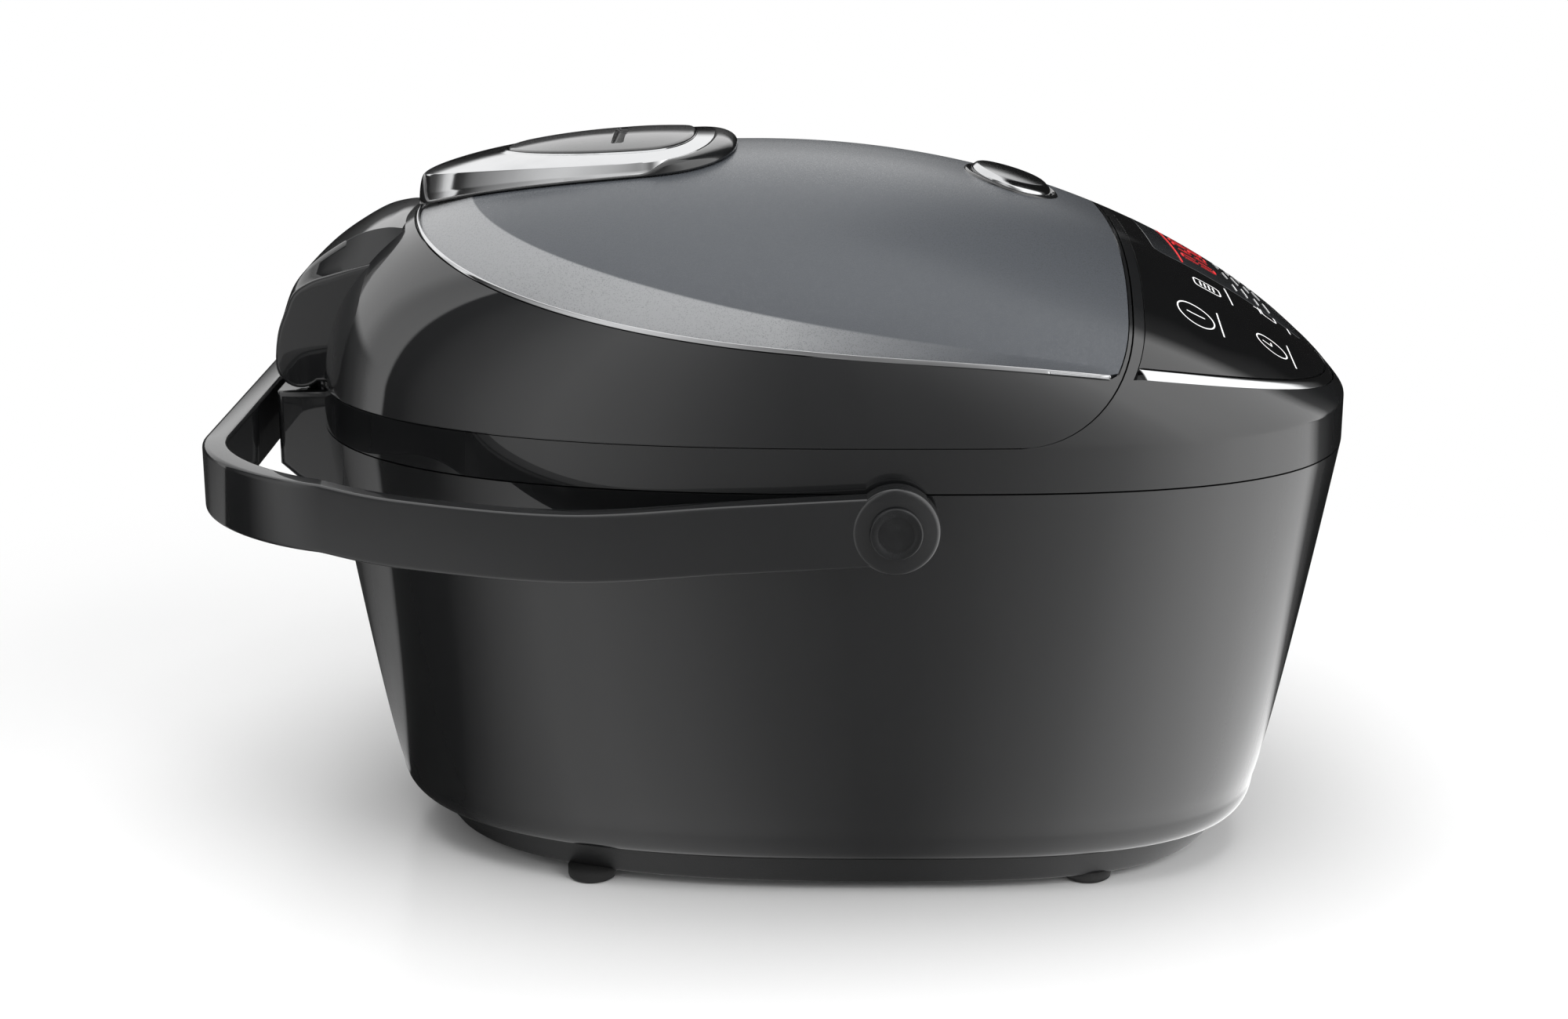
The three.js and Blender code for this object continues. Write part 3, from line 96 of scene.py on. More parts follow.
LID_FRONT_Y = WIDE_Y - 0.077
LID_FRONT_BOW = 0.008
LID_CORNER = 0.035
INSERT_SIDE = 0.012
INSERT_REAR = 0.0365
INSERT_WIDE_Y = WIDE_Y - 0.015
INSERT_POWER = 2.6
INSERT_THICK = 0.003
TRIM_WIDTH = 0.0016
PANEL_SIDE = 0.012
PANEL_FRONT = 0.003
PANEL_BEZEL = 0.0042
STRIP_WIDTH = 0.003

TURNS = 360
HALVINGS = 24
FARTHEST = 0.32
MERGE = 1e-6
RIM_ANGLE = 1.0


def between(low, high, share):
    return low + (high - low) * share


def ramp(value, low, high):
    """Nothing below the low value, one above the high value, and in a straight line between."""
    return max(0.0, min(1.0, (value - low) / (high - low)))


def eased(value, low, high):
    share = ramp(value, low, high)
    return share * share * (3 - 2 * share)


def superellipse(share, power):
    return (1 - min(1.0, abs(share)) ** power) ** (1 / power)


def half_width_at(y):
    ahead = y < WIDE_Y
    length = FRONT if ahead else REAR
    return HALF_WIDTH * superellipse((y - WIDE_Y) / length, FRONT_POWER if ahead else REAR_POWER)


def crest(y):
    ahead = y < CREST_Y
    length = CREST_Y - housing_low.y if ahead else housing_high.y - CREST_Y
    share = min(1.0, abs(y - CREST_Y) / length)
    power = CREST_FRONT_POWER if ahead else CREST_REAR_POWER
    end = CREST_FRONT_END if ahead else CREST_REAR_END
    return SPLIT_Z + CROWN_RISE * (1 - share ** power) ** (1 / end)


def crown(x, y):
    """Height of the smooth crown that the lid, its insert and the touch panel share."""
    half = half_width_at(y)
    if half < FIT:
        return SPLIT_Z
    share = min(1.0, abs(x) / half)
    return SPLIT_Z + (crest(y) - SPLIT_Z) * (1 - share ** SIDE_POWER) ** (1 / SIDE_END)


def egg_point(angle, half_width, front, rear, powers=(FRONT_POWER, REAR_POWER), wide_y=WIDE_Y):
    """A point of an egg in plan, by the direction it is seen in from the widest place."""
    ahead = math.sin(angle) < 0
    power = powers[0] if ahead else powers[1]
    across = (abs(math.cos(angle)) / half_width) ** power
    along = (abs(math.sin(angle)) / (front if ahead else rear)) ** power
    radius = (across + along) ** (-1 / power)
    return radius * math.cos(angle), wide_y + radius * math.sin(angle)


def egg_ring(half_width, front, rear, z):
    return all_round(lambda angle: Vector((*egg_point(angle, half_width, front, rear), z)))


# Plan regions, and how far each reaches from the middle of the pot


def in_outline(x, y, half, front, rear):
    """Whether a place lies in an outline that has the body's shape in plan."""
    power, length = (FRONT_POWER, front) if y < WIDE_Y else (REAR_POWER, rear)
    return (abs(x) / half) ** power + (abs(y - WIDE_Y) / length) ** power < 1


def in_body(x, y):
    return in_outline(x, y, HALF_WIDTH, FRONT, REAR)


def seam_y(x, z, grow=0.0):
    """Where the lid ends at the front: bowed in plan, rounded back under its front corners."""
    bow = LID_FRONT_BOW * (1 - min(1.0, abs(x / HALF_WIDTH)) ** 4)
    low = max(0.0, SPLIT_Z + LID_CORNER - z)
    back = LID_CORNER - math.sqrt(max(0.0, LID_CORNER ** 2 - min(low, LID_CORNER) ** 2))
    return LID_FRONT_Y - bow + back - grow


def in_lid(x, y, z=None, grow=0.0):
    height = crown(x, y) if z is None else z
    return in_body(x, y) and y > seam_y(x, height, grow)


def in_insert(x, y, inset=0.0):
    half = HALF_WIDTH - INSERT_SIDE - inset
    if y < INSERT_WIDE_Y:
        return abs(x) < half * half_width_at(y) / half_width_at(INSERT_WIDE_Y)
    length = housing_high.y - INSERT_REAR - inset - INSERT_WIDE_Y
    return (abs(x) / half) ** INSERT_POWER + ((y - INSERT_WIDE_Y) / length) ** INSERT_POWER < 1


def in_panel(x, y, inset=0.0):
    return in_outline(x, y, HALF_WIDTH - PANEL_SIDE - inset, FRONT - PANEL_FRONT - inset, REAR - inset)


def reach(inside, angle):
    """How far a region goes from the middle of the pot in one direction."""
    low, high = 0.0, FARTHEST
    for _ in range(HALVINGS):
        middle = (low + high) / 2
        if inside(middle * math.cos(angle), POT_Y + middle * math.sin(angle)):
            low = middle
        else:
            high = middle
    return low


def from_pot(angle, radius, z):
    return Vector((radius * math.cos(angle), POT_Y + radius * math.sin(angle), z))


def on_crown(angle, radius, lift=0.0):
    place = from_pot(angle, radius, 0)
    return Vector((place.x, place.y, crown(place.x, place.y) + lift))


def angles_round(turns):
    return [2 * math.pi * i / turns for i in range(turns)]


ANGLES = angles_round(TURNS)


def all_round(function):
    return [function(angle) for angle in ANGLES]


def flat_ring(radii, z):
    """A level ring, by its distances from the middle of the pot."""
    return [from_pot(angle, radius, z) for angle, radius in zip(ANGLES, radii)]


def crown_ring(radii, lift=0.0):
    return [on_crown(angle, radius, lift) for angle, radius in zip(ANGLES, radii)]


body_reach = all_round(lambda a: reach(in_body, a))
lid_reach = all_round(lambda a: reach(in_lid, a))
lid_gap_reach = all_round(lambda a: reach(lambda x, y: in_lid(x, y, grow=SEAM), a))
insert_reach = all_round(lambda a: reach(in_insert, a))
panel_reach = all_round(lambda a: reach(in_panel, a))
bezel_reach = all_round(lambda a: reach(lambda x, y: in_lid(x, y, grow=PANEL_BEZEL), a))


# Finishes: sums on sockets add Math nodes, and one method makes every other node

GREEN_SHARE = 0.4


class Value:
    """The output of a node; a sum on it adds a Math node."""

    def __init__(self, nodes, socket):
        self.nodes = nodes
        self.socket = socket

    def sum(self, operation, first, second):
        return self.nodes.node("ShaderNodeMath", {"operation": operation}, {0: first, 1: second})

    def __add__(self, other):
        return self.sum("ADD", self, other)

    def __mul__(self, other):
        return self.sum("MULTIPLY", self, other)

    def __sub__(self, other):
        return self.sum("SUBTRACT", self, other)

    def __rsub__(self, other):
        return self.sum("SUBTRACT", other, self)

    def __lt__(self, other):
        return self.sum("LESS_THAN", self, other)

    __radd__ = __add__
    __rmul__ = __mul__


class Nodes:
    """A node tree, and the one method that adds every node which isn't a sum."""

    def __init__(self, tree):
        self.tree = tree

    def link(self, socket, value):
        if isinstance(value, Value):
            self.tree.links.new(value.socket, socket)
        else:
            socket.default_value = value

    def node(self, kind, settings=None, sockets=None, output=0):
        node = self.tree.nodes.new(kind)
        for name, value in (settings or {}).items():
            if name == "stops":
                self.set_stops(node.color_ramp, value)
            else:
                setattr(node, name, value)
        for name, value in (sockets or {}).items():
            self.link(node.inputs[name], value)
        return Value(self, node.outputs[output])

    def set_stops(self, ramp, stops):
        while len(ramp.elements) < len(stops):
            ramp.elements.new(0.5)
        for element, (position, color) in zip(ramp.elements, stops):
            element.position = position
            element.color = color

    def fade(self, value, low, high):
        """Nothing below the low value, one above the high value, and a soft rise between."""
        return self.node("ShaderNodeMapRange", {"interpolation_type": "SMOOTHSTEP"},
                         {"Value": value, "From Min": low, "From Max": high,
                          "To Min": 0.0, "To Max": 1.0})

    def mix(self, share, first, second):
        return self.node("ShaderNodeMix", {"data_type": "RGBA"}, {0: share, 6: first, 7: second}, 2)

    def seen_directly(self):
        """One for the rays that look at the background, also in metal and through glass."""
        camera, glossy, through = (self.node("ShaderNodeLightPath", output=name)
                                   for name in ("Is Camera Ray", "Is Glossy Ray", "Is Transmission Ray"))
        return camera + glossy + through


class Finish(Nodes):
    """A material: the shader's own values, and the nodes that feed it."""

    def __init__(self, name, **values):
        self.material = bpy.data.materials.new(name)
        self.material.use_nodes = True
        super().__init__(self.material.node_tree)
        self.shader = self.tree.nodes["Principled BSDF"]
        self.place = self.node("ShaderNodeTexCoord", output="Object")
        for word, value in values.items():
            self.feed(word.replace("_", " "), value)

    def feed(self, socket, value):
        self.link(self.shader.inputs[socket], value)

    def show(self, share, first, second):
        """Gives the surface a mix of two shaders in place of the material's own."""
        both = self.node("ShaderNodeMixShader", None, {0: share, 1: first, 2: second})
        self.link(self.tree.nodes["Material Output"].inputs["Surface"], both)

    def stretched(self, scale, turn=(0, 0, 0)):
        return self.node("ShaderNodeMapping", None,
                         {"Vector": self.place, "Scale": scale, "Rotation": turn})

    def noise(self, scale, detail=3.0, roughness=0.5, place=None):
        return self.node("ShaderNodeTexNoise", None, {"Vector": place or self.place, "Scale": scale,
                                                      "Detail": detail, "Roughness": roughness})

    def cells(self, scale, output="Distance", place=None):
        return self.node("ShaderNodeTexVoronoi", None, {"Vector": place or self.place, "Scale": scale},
                         output)

    def bump(self, height, distance, strength=1.0):
        self.feed("Normal", self.node("ShaderNodeBump", None, {"Height": height, "Distance": distance,
                                                               "Strength": strength}))

    def part(self, axis):
        """One coordinate of the place on the piece."""
        return self.node("ShaderNodeSeparateXYZ", None, {"Vector": self.place}, axis)

    def away(self, centre):
        """How far the place is, in plan, from a centre."""
        offset = self.node("ShaderNodeVectorMath", {"operation": "SUBTRACT"}, {0: self.place, 1: centre})
        flat = self.node("ShaderNodeVectorMath", {"operation": "MULTIPLY"}, {0: offset, 1: (1, 1, 0)})
        return self.node("ShaderNodeVectorMath", {"operation": "LENGTH"}, {0: flat}, "Value")


def grey(level, blue=1.0):
    """A grey, a little blue where that is over one, with the green part of the way along."""
    return level, level * (1 + (blue - 1) * GREEN_SHARE), level * blue, 1


def black_gloss():
    """High-gloss black: a softly shining moulding under a clear coat, faint orange peel and dust."""
    finish = Finish("black_gloss", IOR=1.5, Specular_IOR_Level=0.15, Coat_Weight=1.0, Coat_Roughness=0.015,
                    Coat_IOR=1.75)
    cloud = finish.noise(9, 4)
    dust = finish.cells(1400) < 0.03
    haze = finish.fade(finish.noise(38, 5, 0.6), 0.35, 0.75)
    finish.feed("Base Color", finish.mix(cloud, grey(0.006, 1.10), grey(0.010, 1.12)))
    finish.feed("Roughness", 0.32 + haze * 0.05 + dust * 0.2)
    peel = finish.noise(260, 1) * 0.6 + finish.noise(42, 2) * 0.4
    finish.bump(peel, 0.00003, 0.25)
    return finish


def black_satin():
    """Satin moulded plastic of the carry handle, with fine grain and slight rubbing."""
    finish = Finish("black_satin", IOR=1.5)
    grain = finish.noise(1900, 2)
    rubbed = finish.fade(finish.noise(26, 5, 0.65), 0.5, 0.72)
    finish.feed("Base Color", finish.mix(rubbed, grey(0.010, 1.06), grey(0.017, 1.1)))
    finish.feed("Roughness", 0.17 + rubbed * 0.07 + grain * 0.05)
    finish.bump(grain + finish.noise(90, 2) * 0.8, 0.00004, 0.5)
    return finish


def black_matte():
    """Spark-textured moulded plastic of the base pan."""
    finish = Finish("black_matte", IOR=1.48)
    grain = finish.noise(1500, 4, 0.7)
    pits = finish.cells(1900)
    finish.feed("Base Color", finish.mix(grain, grey(0.012), grey(0.026, 1.05)))
    finish.feed("Roughness", 0.42 + grain * 0.22)
    finish.bump(grain * 0.7 + pits * 0.5, 0.00012, 0.6)
    return finish


def panel_glass():
    """Piano-black touch cover with a few wiping marks."""
    finish = Finish("panel_glass", IOR=1.52, Coat_Weight=0.8, Coat_Roughness=0.01)
    wiped = finish.noise(30, 5, 0.6, finish.stretched((1, 6, 1), (0, 0, 0.5)))
    marks = finish.fade(wiped, 0.48, 0.7)
    finish.feed("Base Color", finish.mix(finish.noise(14), grey(0.0035), grey(0.0065, 1.1)))
    finish.feed("Roughness", 0.03 + marks * 0.05)
    finish.bump(finish.noise(60, 1), 0.00003, 0.2)
    return finish


def display_smoke():
    """Smoked display window: lighter than the cover, with a fine inner mesh."""
    finish = Finish("display_smoke", IOR=1.49, Coat_Weight=0.6, Coat_Roughness=0.02)
    mesh = finish.node("ShaderNodeTexChecker", None,
                       {"Vector": finish.place, "Scale": 1400,
                        "Color1": grey(0.026, 1.15), "Color2": grey(0.036, 1.15)})
    finish.feed("Base Color", mesh)
    finish.feed("Roughness", 0.05 + finish.noise(50, 4) * 0.06)
    return finish


def grey_lacquer():
    """Dark grey lacquer with fine flakes under a thin coat, and a paler grey on the bevelled border that
    is a painted reflection.
    """
    finish = Finish("grey_lacquer", IOR=1.45, Specular_IOR_Level=0.3, Coat_Weight=0.3, Coat_Roughness=0.25)
    spark = finish.node("ShaderNodeSeparateColor", None, {"Color": finish.cells(3600, "Color")})
    shine = finish.fade(spark, 0.55, 1.0)
    cloud = finish.noise(7, 4)
    body = finish.mix(cloud, grey(0.060, 1.22), grey(0.074, 1.22))
    border = finish.node("ShaderNodeAttribute", {"attribute_name": "border"}, None, "Fac")
    flaked = finish.mix(shine * 0.30, body, grey(0.20, 1.10))
    # The paler grey on the border is a painted reflection of the lamps on the bevel, not a lighter
    # lacquer.
    finish.feed("Base Color", finish.mix(border * 0.9, flaked, grey(0.30, 1.04)))
    finish.feed("Metallic", 0.12 + shine * 0.30)
    finish.feed("Roughness", 0.36 - shine * 0.12)
    finish.bump(finish.noise(300, 1) * 0.5 + spark * 0.1, 0.00003, 0.3)
    return finish


def bright_trim():
    """Polished plated trim with hairline polishing marks."""
    finish = Finish("bright_trim", Metallic=1.0)
    hair = finish.noise(700, 3, 0.6, finish.stretched((1, 0.06, 0.3)))
    worn = finish.fade(finish.noise(24, 5), 0.45, 0.8)
    finish.feed("Base Color", finish.mix(worn, grey(0.80, 1.02), grey(0.66, 1.02)))
    finish.feed("Roughness", 0.06 + hair * 0.05 + worn * 0.06)
    finish.bump(hair, 0.00002, 0.25)
    return finish


def inner_frame():
    """Satin heat-proof plastic inside the lid."""
    finish = Finish("inner_frame", IOR=1.48)
    grain = finish.noise(1100, 3)
    finish.feed("Base Color", finish.mix(finish.noise(18, 4), grey(0.026, 1.05), grey(0.038, 1.06)))
    finish.feed("Roughness", 0.34 + grain * 0.2)
    finish.bump(grain, 0.00008, 0.5)
    return finish


def silicone():
    """Milky silicone with a dull bloom."""
    finish = Finish("silicone", IOR=1.42, Subsurface_Weight=0.12)
    bloom = finish.fade(finish.noise(60, 5), 0.4, 0.75)
    finish.feed("Base Color", finish.mix(bloom, (0.60, 0.60, 0.57, 1), (0.70, 0.70, 0.68, 1)))
    finish.feed("Roughness", 0.36 + bloom * 0.2)
    finish.bump(finish.noise(900, 2), 0.00005, 0.4)
    return finish


def foot_rubber():
    """Dull black rubber with dust in its grain."""
    finish = Finish("foot_rubber", IOR=1.5)
    grain = finish.noise(1300, 4, 0.7)
    dust = finish.fade(finish.noise(110, 5), 0.5, 0.8)
    finish.feed("Base Color", finish.mix(dust, grey(0.014), grey(0.040, 0.95)))
    finish.feed("Roughness", 0.68 + grain * 0.2)
    finish.bump(grain, 0.00014, 0.7)
    return finish


def pot_coating():
    """Dark non-stick coating with pale specks and a faint turned grain."""
    finish = Finish("pot_coating", IOR=1.5)
    specks = finish.cells(420) < 0.16
    fine = finish.cells(900) < 0.12
    tone = finish.mix(finish.noise(20, 5), grey(0.034, 1.05), grey(0.055, 1.06))
    finish.feed("Base Color", finish.mix((specks + fine) * 0.45, tone, grey(0.26)))
    finish.feed("Roughness", 0.34 + finish.noise(400, 3) * 0.16)
    finish.feed("Metallic", specks * 0.4)
    rings = finish.node("ShaderNodeTexWave", {"wave_type": "RINGS", "rings_direction": "Z"},
                        {"Vector": finish.node("ShaderNodeMapping", None,
                                               {"Vector": finish.place, "Location": (0, -POT_Y, 0)}),
                         "Scale": 420, "Distortion": 0.4}, "Fac")
    finish.bump(rings * 0.35 + finish.noise(1200, 2) * 0.5, 0.00006, 0.5)
    return finish


def bare_aluminium():
    """Spun sheet: fine rings round the middle of the pot."""
    finish = Finish("bare_aluminium", Metallic=0.75)
    line = finish.node("ShaderNodeCombineXYZ", None, {"X": finish.away((0, POT_Y, 0))})
    rings = finish.noise(2600, 3, 0.6, line)
    blotch = finish.noise(22, 5)
    finish.feed("Base Color", finish.mix(rings * 0.6 + blotch * 0.4, grey(0.50, 1.02), grey(0.68, 1.02)))
    finish.feed("Roughness", 0.24 + rings * 0.12 + blotch * 0.06)
    finish.bump(rings, 0.00003, 0.5)
    return finish


def cast_heater():
    """Die-cast heater with a grainy skin and heat tint."""
    finish = Finish("cast_heater", Metallic=0.9)
    skin = finish.noise(700, 5, 0.7)
    tint = finish.fade(finish.noise(30, 4), 0.45, 0.75)
    finish.feed("Base Color", finish.mix(tint, grey(0.33, 1.02), (0.30, 0.26, 0.21, 1)))
    finish.feed("Roughness", 0.45 + skin * 0.2)
    finish.bump(skin, 0.00015, 0.6)
    return finish


def steel_part():
    """Drawn steel with faint streaks."""
    finish = Finish("steel_part", Metallic=1.0)
    streak = finish.noise(900, 3, 0.6, finish.stretched((0.08, 1, 1)))
    finish.feed("Base Color", finish.mix(streak, grey(0.42, 1.02), grey(0.60, 1.02)))
    finish.feed("Roughness", 0.22 + streak * 0.18)
    finish.bump(streak, 0.00002, 0.4)
    return finish


def pin_brass():
    """Nickelled brass pins, slightly tarnished."""
    finish = Finish("pin_brass", Metallic=1.0)
    tarnish = finish.fade(finish.noise(240, 4), 0.4, 0.7)
    finish.feed("Base Color", finish.mix(tarnish, (0.66, 0.60, 0.46, 1), (0.48, 0.40, 0.26, 1)))
    finish.feed("Roughness", 0.2 + tarnish * 0.2)
    return finish


def circuit_board():
    """Green board with copper tracks under its mask."""
    finish = Finish("circuit_board", IOR=1.5)
    track = finish.node("ShaderNodeTexBrick", {"offset": 0.3},
                        {"Vector": finish.place, "Scale": 130, "Mortar Size": 0.05,
                         "Color1": (0.012, 0.075, 0.030, 1), "Color2": (0.016, 0.095, 0.038, 1),
                         "Mortar": (0.06, 0.16, 0.06, 1)}, "Color")
    pads = finish.cells(260) < 0.10
    finish.feed("Base Color", finish.mix(pads, track, (0.55, 0.50, 0.36, 1)))
    finish.feed("Roughness", 0.30 + finish.noise(120) * 0.15)
    finish.feed("Metallic", pads * 0.8)
    finish.bump(pads, 0.00006, 0.6)
    return finish


def module_case():
    """Black moulded case of the display and the sensor parts."""
    finish = Finish("module_case", IOR=1.48)
    grain = finish.noise(1400, 3)
    finish.feed("Base Color", finish.mix(grain, grey(0.016), grey(0.030, 1.05)))
    finish.feed("Roughness", 0.38 + grain * 0.16)
    finish.bump(grain, 0.00008, 0.5)
    return finish


def wire_cover():
    """Braided white sleeve over the heater wires."""
    finish = Finish("wire_cover", IOR=1.45)
    braid = finish.cells(1100, place=finish.stretched((1, 1, 0.45), (0, 0, 0.7)))
    finish.feed("Base Color", finish.mix(braid, (0.70, 0.69, 0.64, 1), (0.42, 0.40, 0.36, 1)))
    finish.feed("Roughness", 0.55 + braid * 0.3)
    finish.bump(braid, 0.0002, 0.7)
    return finish


def printed_white():
    """White screen print: opaque, a little uneven, with a painted glow from its emission though it is no
    lamp.
    """
    # The emission strength and colour here are a painted glow; the print is no lamp.
    finish = Finish("printed_white", IOR=1.5, Emission_Strength=0.35)
    ink = finish.noise(1200, 3)
    finish.feed("Base Color", finish.mix(ink, grey(0.70, 1.02), grey(0.86, 1.0)))
    finish.feed("Emission Color", finish.mix(ink, grey(0.80, 1.02), grey(0.95, 1.0)))
    finish.feed("Roughness", 0.30 + ink * 0.2)
    return finish


def lit_red():
    """Red light of the display segments."""
    finish = Finish("lit_red", IOR=1.5, Emission_Strength=0.9)
    glow = finish.noise(700, 2)
    finish.feed("Base Color", finish.mix(glow, (0.30, 0.008, 0.010, 1), (0.40, 0.012, 0.014, 1)))
    finish.feed("Emission Color", finish.mix(glow, (0.75, 0.018, 0.024, 1), (0.95, 0.032, 0.036, 1)))
    finish.feed("Roughness", 0.25 + glow * 0.15)
    return finish


FINISHES = {make.__name__: make() for make in (
    black_gloss, black_satin, black_matte, panel_glass, display_smoke, grey_lacquer, bright_trim,
    inner_frame, silicone, foot_rubber, pot_coating, bare_aluminium, cast_heater, steel_part, pin_brass,
    circuit_board, module_case, wire_cover, printed_white, lit_red)}


# Mesh helpers


def as_object(name, bm):
    mesh = bpy.data.meshes.new(name)
    bm.to_mesh(mesh)
    bm.free()
    item = bpy.data.objects.new(name, mesh)
    bpy.context.scene.collection.objects.link(item)
    return item


def shade_smooth(piece):
    for polygon in piece.data.polygons:
        polygon.use_smooth = True


def new_piece(name, bm, body, replaces=(), slot=None, finish=None):
    """Closes seams and poles, points the faces outwards and makes a piece that rides on a body."""
    bmesh.ops.remove_doubles(bm, verts=bm.verts, dist=MERGE)
    bmesh.ops.dissolve_degenerate(bm, edges=bm.edges, dist=MERGE)
    bmesh.ops.recalc_face_normals(bm, faces=bm.faces)
    piece = as_object(name, bm)
    piece.data.materials.append(FINISHES[finish or slot].material)
    shade_smooth(piece)
    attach(piece, body)
    if replaces:
        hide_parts(*replaces)
    return piece


def bend_grid(rows, closed=True):
    """A grid bent so that each of its rows lies on one row of points."""
    count = len(rows[0])
    across = count if closed else count - 1
    bm = bmesh.new()
    bmesh.ops.create_grid(bm, x_segments=across, y_segments=len(rows) - 1, size=0.5)
    for vert in bm.verts:
        i = round((vert.co.x + 0.5) * across) % count
        k = round((vert.co.y + 0.5) * (len(rows) - 1))
        vert.co = rows[k][i]
    return bm


# Rounding of the edges of each piece: width, segments and the least angle that counts as an edge
EDGE_ROUNDING = {
    "housing_shell": (0.0005, 3, 35), "collar_shell": (0.0010, 3, 35), "touch_cover": (0.0004, 3, 35),
    "panel_edge_strip": (0.0003, 3, 35), "display_lens": (0.0001, 2, 35), "lid_dome": (0.0007, 3, 35),
    "top_insert": (0.0004, 3, 30), "base_tray": (0.0003, 3, 35), "inlet_socket": (0.0003, 3, 35),
    "pivot_cap_left": (0.0003, 2, 50), "pivot_cap_right": (0.0003, 2, 50), "hinge_hood": (0.0004, 2, 50),
    "hinge_lower_cover": (0.0006, 3, 50), "hinge_rod": (0.0004, 3, 35),
    "button_surround": (0.0002, 2, 60), "valve_trim_plate": (0.0002, 2, 20),
    "valve_dome": (0.0003, 2, 40), "lid_lining": (0.0004, 2, 50),
}


def soften(piece):
    """Rounds the sharp edges of a piece and keeps its broad faces evenly shaded."""
    width, segments, angle = EDGE_ROUNDING[piece.name]
    bevel = piece.modifiers.new("edges", "BEVEL")
    bevel.width = width
    bevel.segments = segments
    bevel.limit_method = "ANGLE"
    bevel.angle_limit = math.radians(angle)
    piece.modifiers.new("shading", "WEIGHTED_NORMAL").keep_sharp = True


def thicken(piece, thickness):
    wall = piece.modifiers.new("wall", "SOLIDIFY")
    wall.thickness = thickness
    wall.offset = -1
    wall.use_even_offset = True


def carve(piece, *cutters):
    """Cuts closed shapes out of a piece for good."""
    for cutter in cutters:
        bmesh.ops.recalc_face_normals(cutter, faces=cutter.faces)
        tool = as_object("cutter", cutter)
        cut = piece.modifiers.new("cut", "BOOLEAN")
        cut.object = tool
        cut.solver = "EXACT"
        bpy.context.view_layer.update()
        cut_piece = piece.evaluated_get(bpy.context.evaluated_depsgraph_get())
        carved = bpy.data.meshes.new_from_object(cut_piece)
        piece.modifiers.clear()
        piece.data = carved
        bpy.data.objects.remove(tool)
    shade_smooth(piece)


def spun(profile, centre, turns=96):
    """A body turned from a closed profile of (radius, height) points about an upright axis."""
    bm = bmesh.new()
    corners = [bm.verts.new((centre.x + radius, centre.y, z)) for radius, z in profile]
    edges = [bm.edges.new((a, b)) for a, b in zip(corners, corners[1:] + corners[:1])]
    bmesh.ops.spin(bm, geom=corners + edges, cent=centre, axis=(0, 0, 1), angle=2 * math.pi, steps=turns,
                   use_merge=True)
    return bm


def round_edges(bm, edges, width, segments):
    bmesh.ops.bevel(bm, geom=edges, offset=width, segments=segments, affect="EDGES", profile=0.5,
                    material=-1)


def box_shape(low, high, round_by=0.0, segments=3):
    bm = bmesh.new()
    bmesh.ops.create_cube(bm, size=1)
    low, high = Vector(low), Vector(high)
    bmesh.ops.scale(bm, vec=high - low, verts=bm.verts)
    bmesh.ops.translate(bm, vec=(low + high) / 2, verts=bm.verts)
    if round_by:
        round_edges(bm, bm.edges[:], round_by, segments)
    return bm


def rod(radius, start, end, segments=48):
    """A round rod between two points."""
    bm = bmesh.new()
    start, end = Vector(start), Vector(end)
    turn = (end - start).to_track_quat("Z", "Y").to_matrix().to_4x4()
    bmesh.ops.create_cone(bm, cap_ends=True, segments=segments, radius1=radius, radius2=radius,
                          depth=(end - start).length, matrix=Matrix.Translation((start + end) / 2) @ turn)
    return bm


def rim_edges(bm):
    """The sharp edges round the ends of a rod."""
    return [edge for edge in bm.edges if edge.calc_face_angle(0) > RIM_ANGLE]


def joined(*parts):
    """Puts several meshes into the first of them."""
    whole = parts[0]
    for part in parts[1:]:
        mesh = bpy.data.meshes.new("part")
        part.to_mesh(mesh)
        part.free()
        whole.from_mesh(mesh)
        bpy.data.meshes.remove(mesh)
    return whole


def curve_point(knots, place):
    """A point of a smooth curve through the knots; at a whole number it is a knot itself."""
    k = min(int(place), len(knots) - 2)
    part = place - k
    before, start, end, after = (Vector(knots[max(0, min(len(knots) - 1, k + step))])
                                 for step in (-1, 0, 1, 2))
    return (start + part * 0.5 * (end - before
            + part * (2 * before - 5 * start + 4 * end - after
                      + part * (3 * (start - end) + after - before))))


def smooth_through(knots, steps):
    """Points on a smooth curve through the knots."""
    count = steps * (len(knots) - 1)
    return [curve_point(knots, i / steps) for i in range(count)] + [Vector(knots[-1])]


def quarter_turn(steps, first=0):
    """Angles from level to upright."""
    return [k / steps * math.pi / 2 for k in range(first, steps + 1)]


# Lower housing

HOUSING_FOOT = (HALF_WIDTH - 0.037, FRONT - 0.031, REAR - 0.034)
HOUSING_OUT = (0.005, 0.007, 0.011)
HOUSING_TOP_SIZE = (HALF_WIDTH, FRONT, REAR)
CORNER_RISE = 0.011
CORNER_STEPS, CORNER_CROWDING = 10, 1.6
HOUSING_STEPS = 30
BULGE_POWER = 0.86
BASE_TOP = base_high.z + SEAM / 2


def housing_size(z):
    """Half width, front and rear of the housing's outline at one height."""
    foot_z = BASE_TOP + CORNER_RISE
    rise = max(0.0, (z - foot_z) / (HOUSING_TOP - foot_z)) ** BULGE_POWER
    corner = min(1.0, (z - BASE_TOP) / CORNER_RISE)
    rounded = math.sqrt(max(0.0, 1 - (1 - corner) ** 2))
    return [low + out * rounded + (high - low - out) * rise
            for low, out, high in zip(HOUSING_FOOT, HOUSING_OUT, HOUSING_TOP_SIZE)]


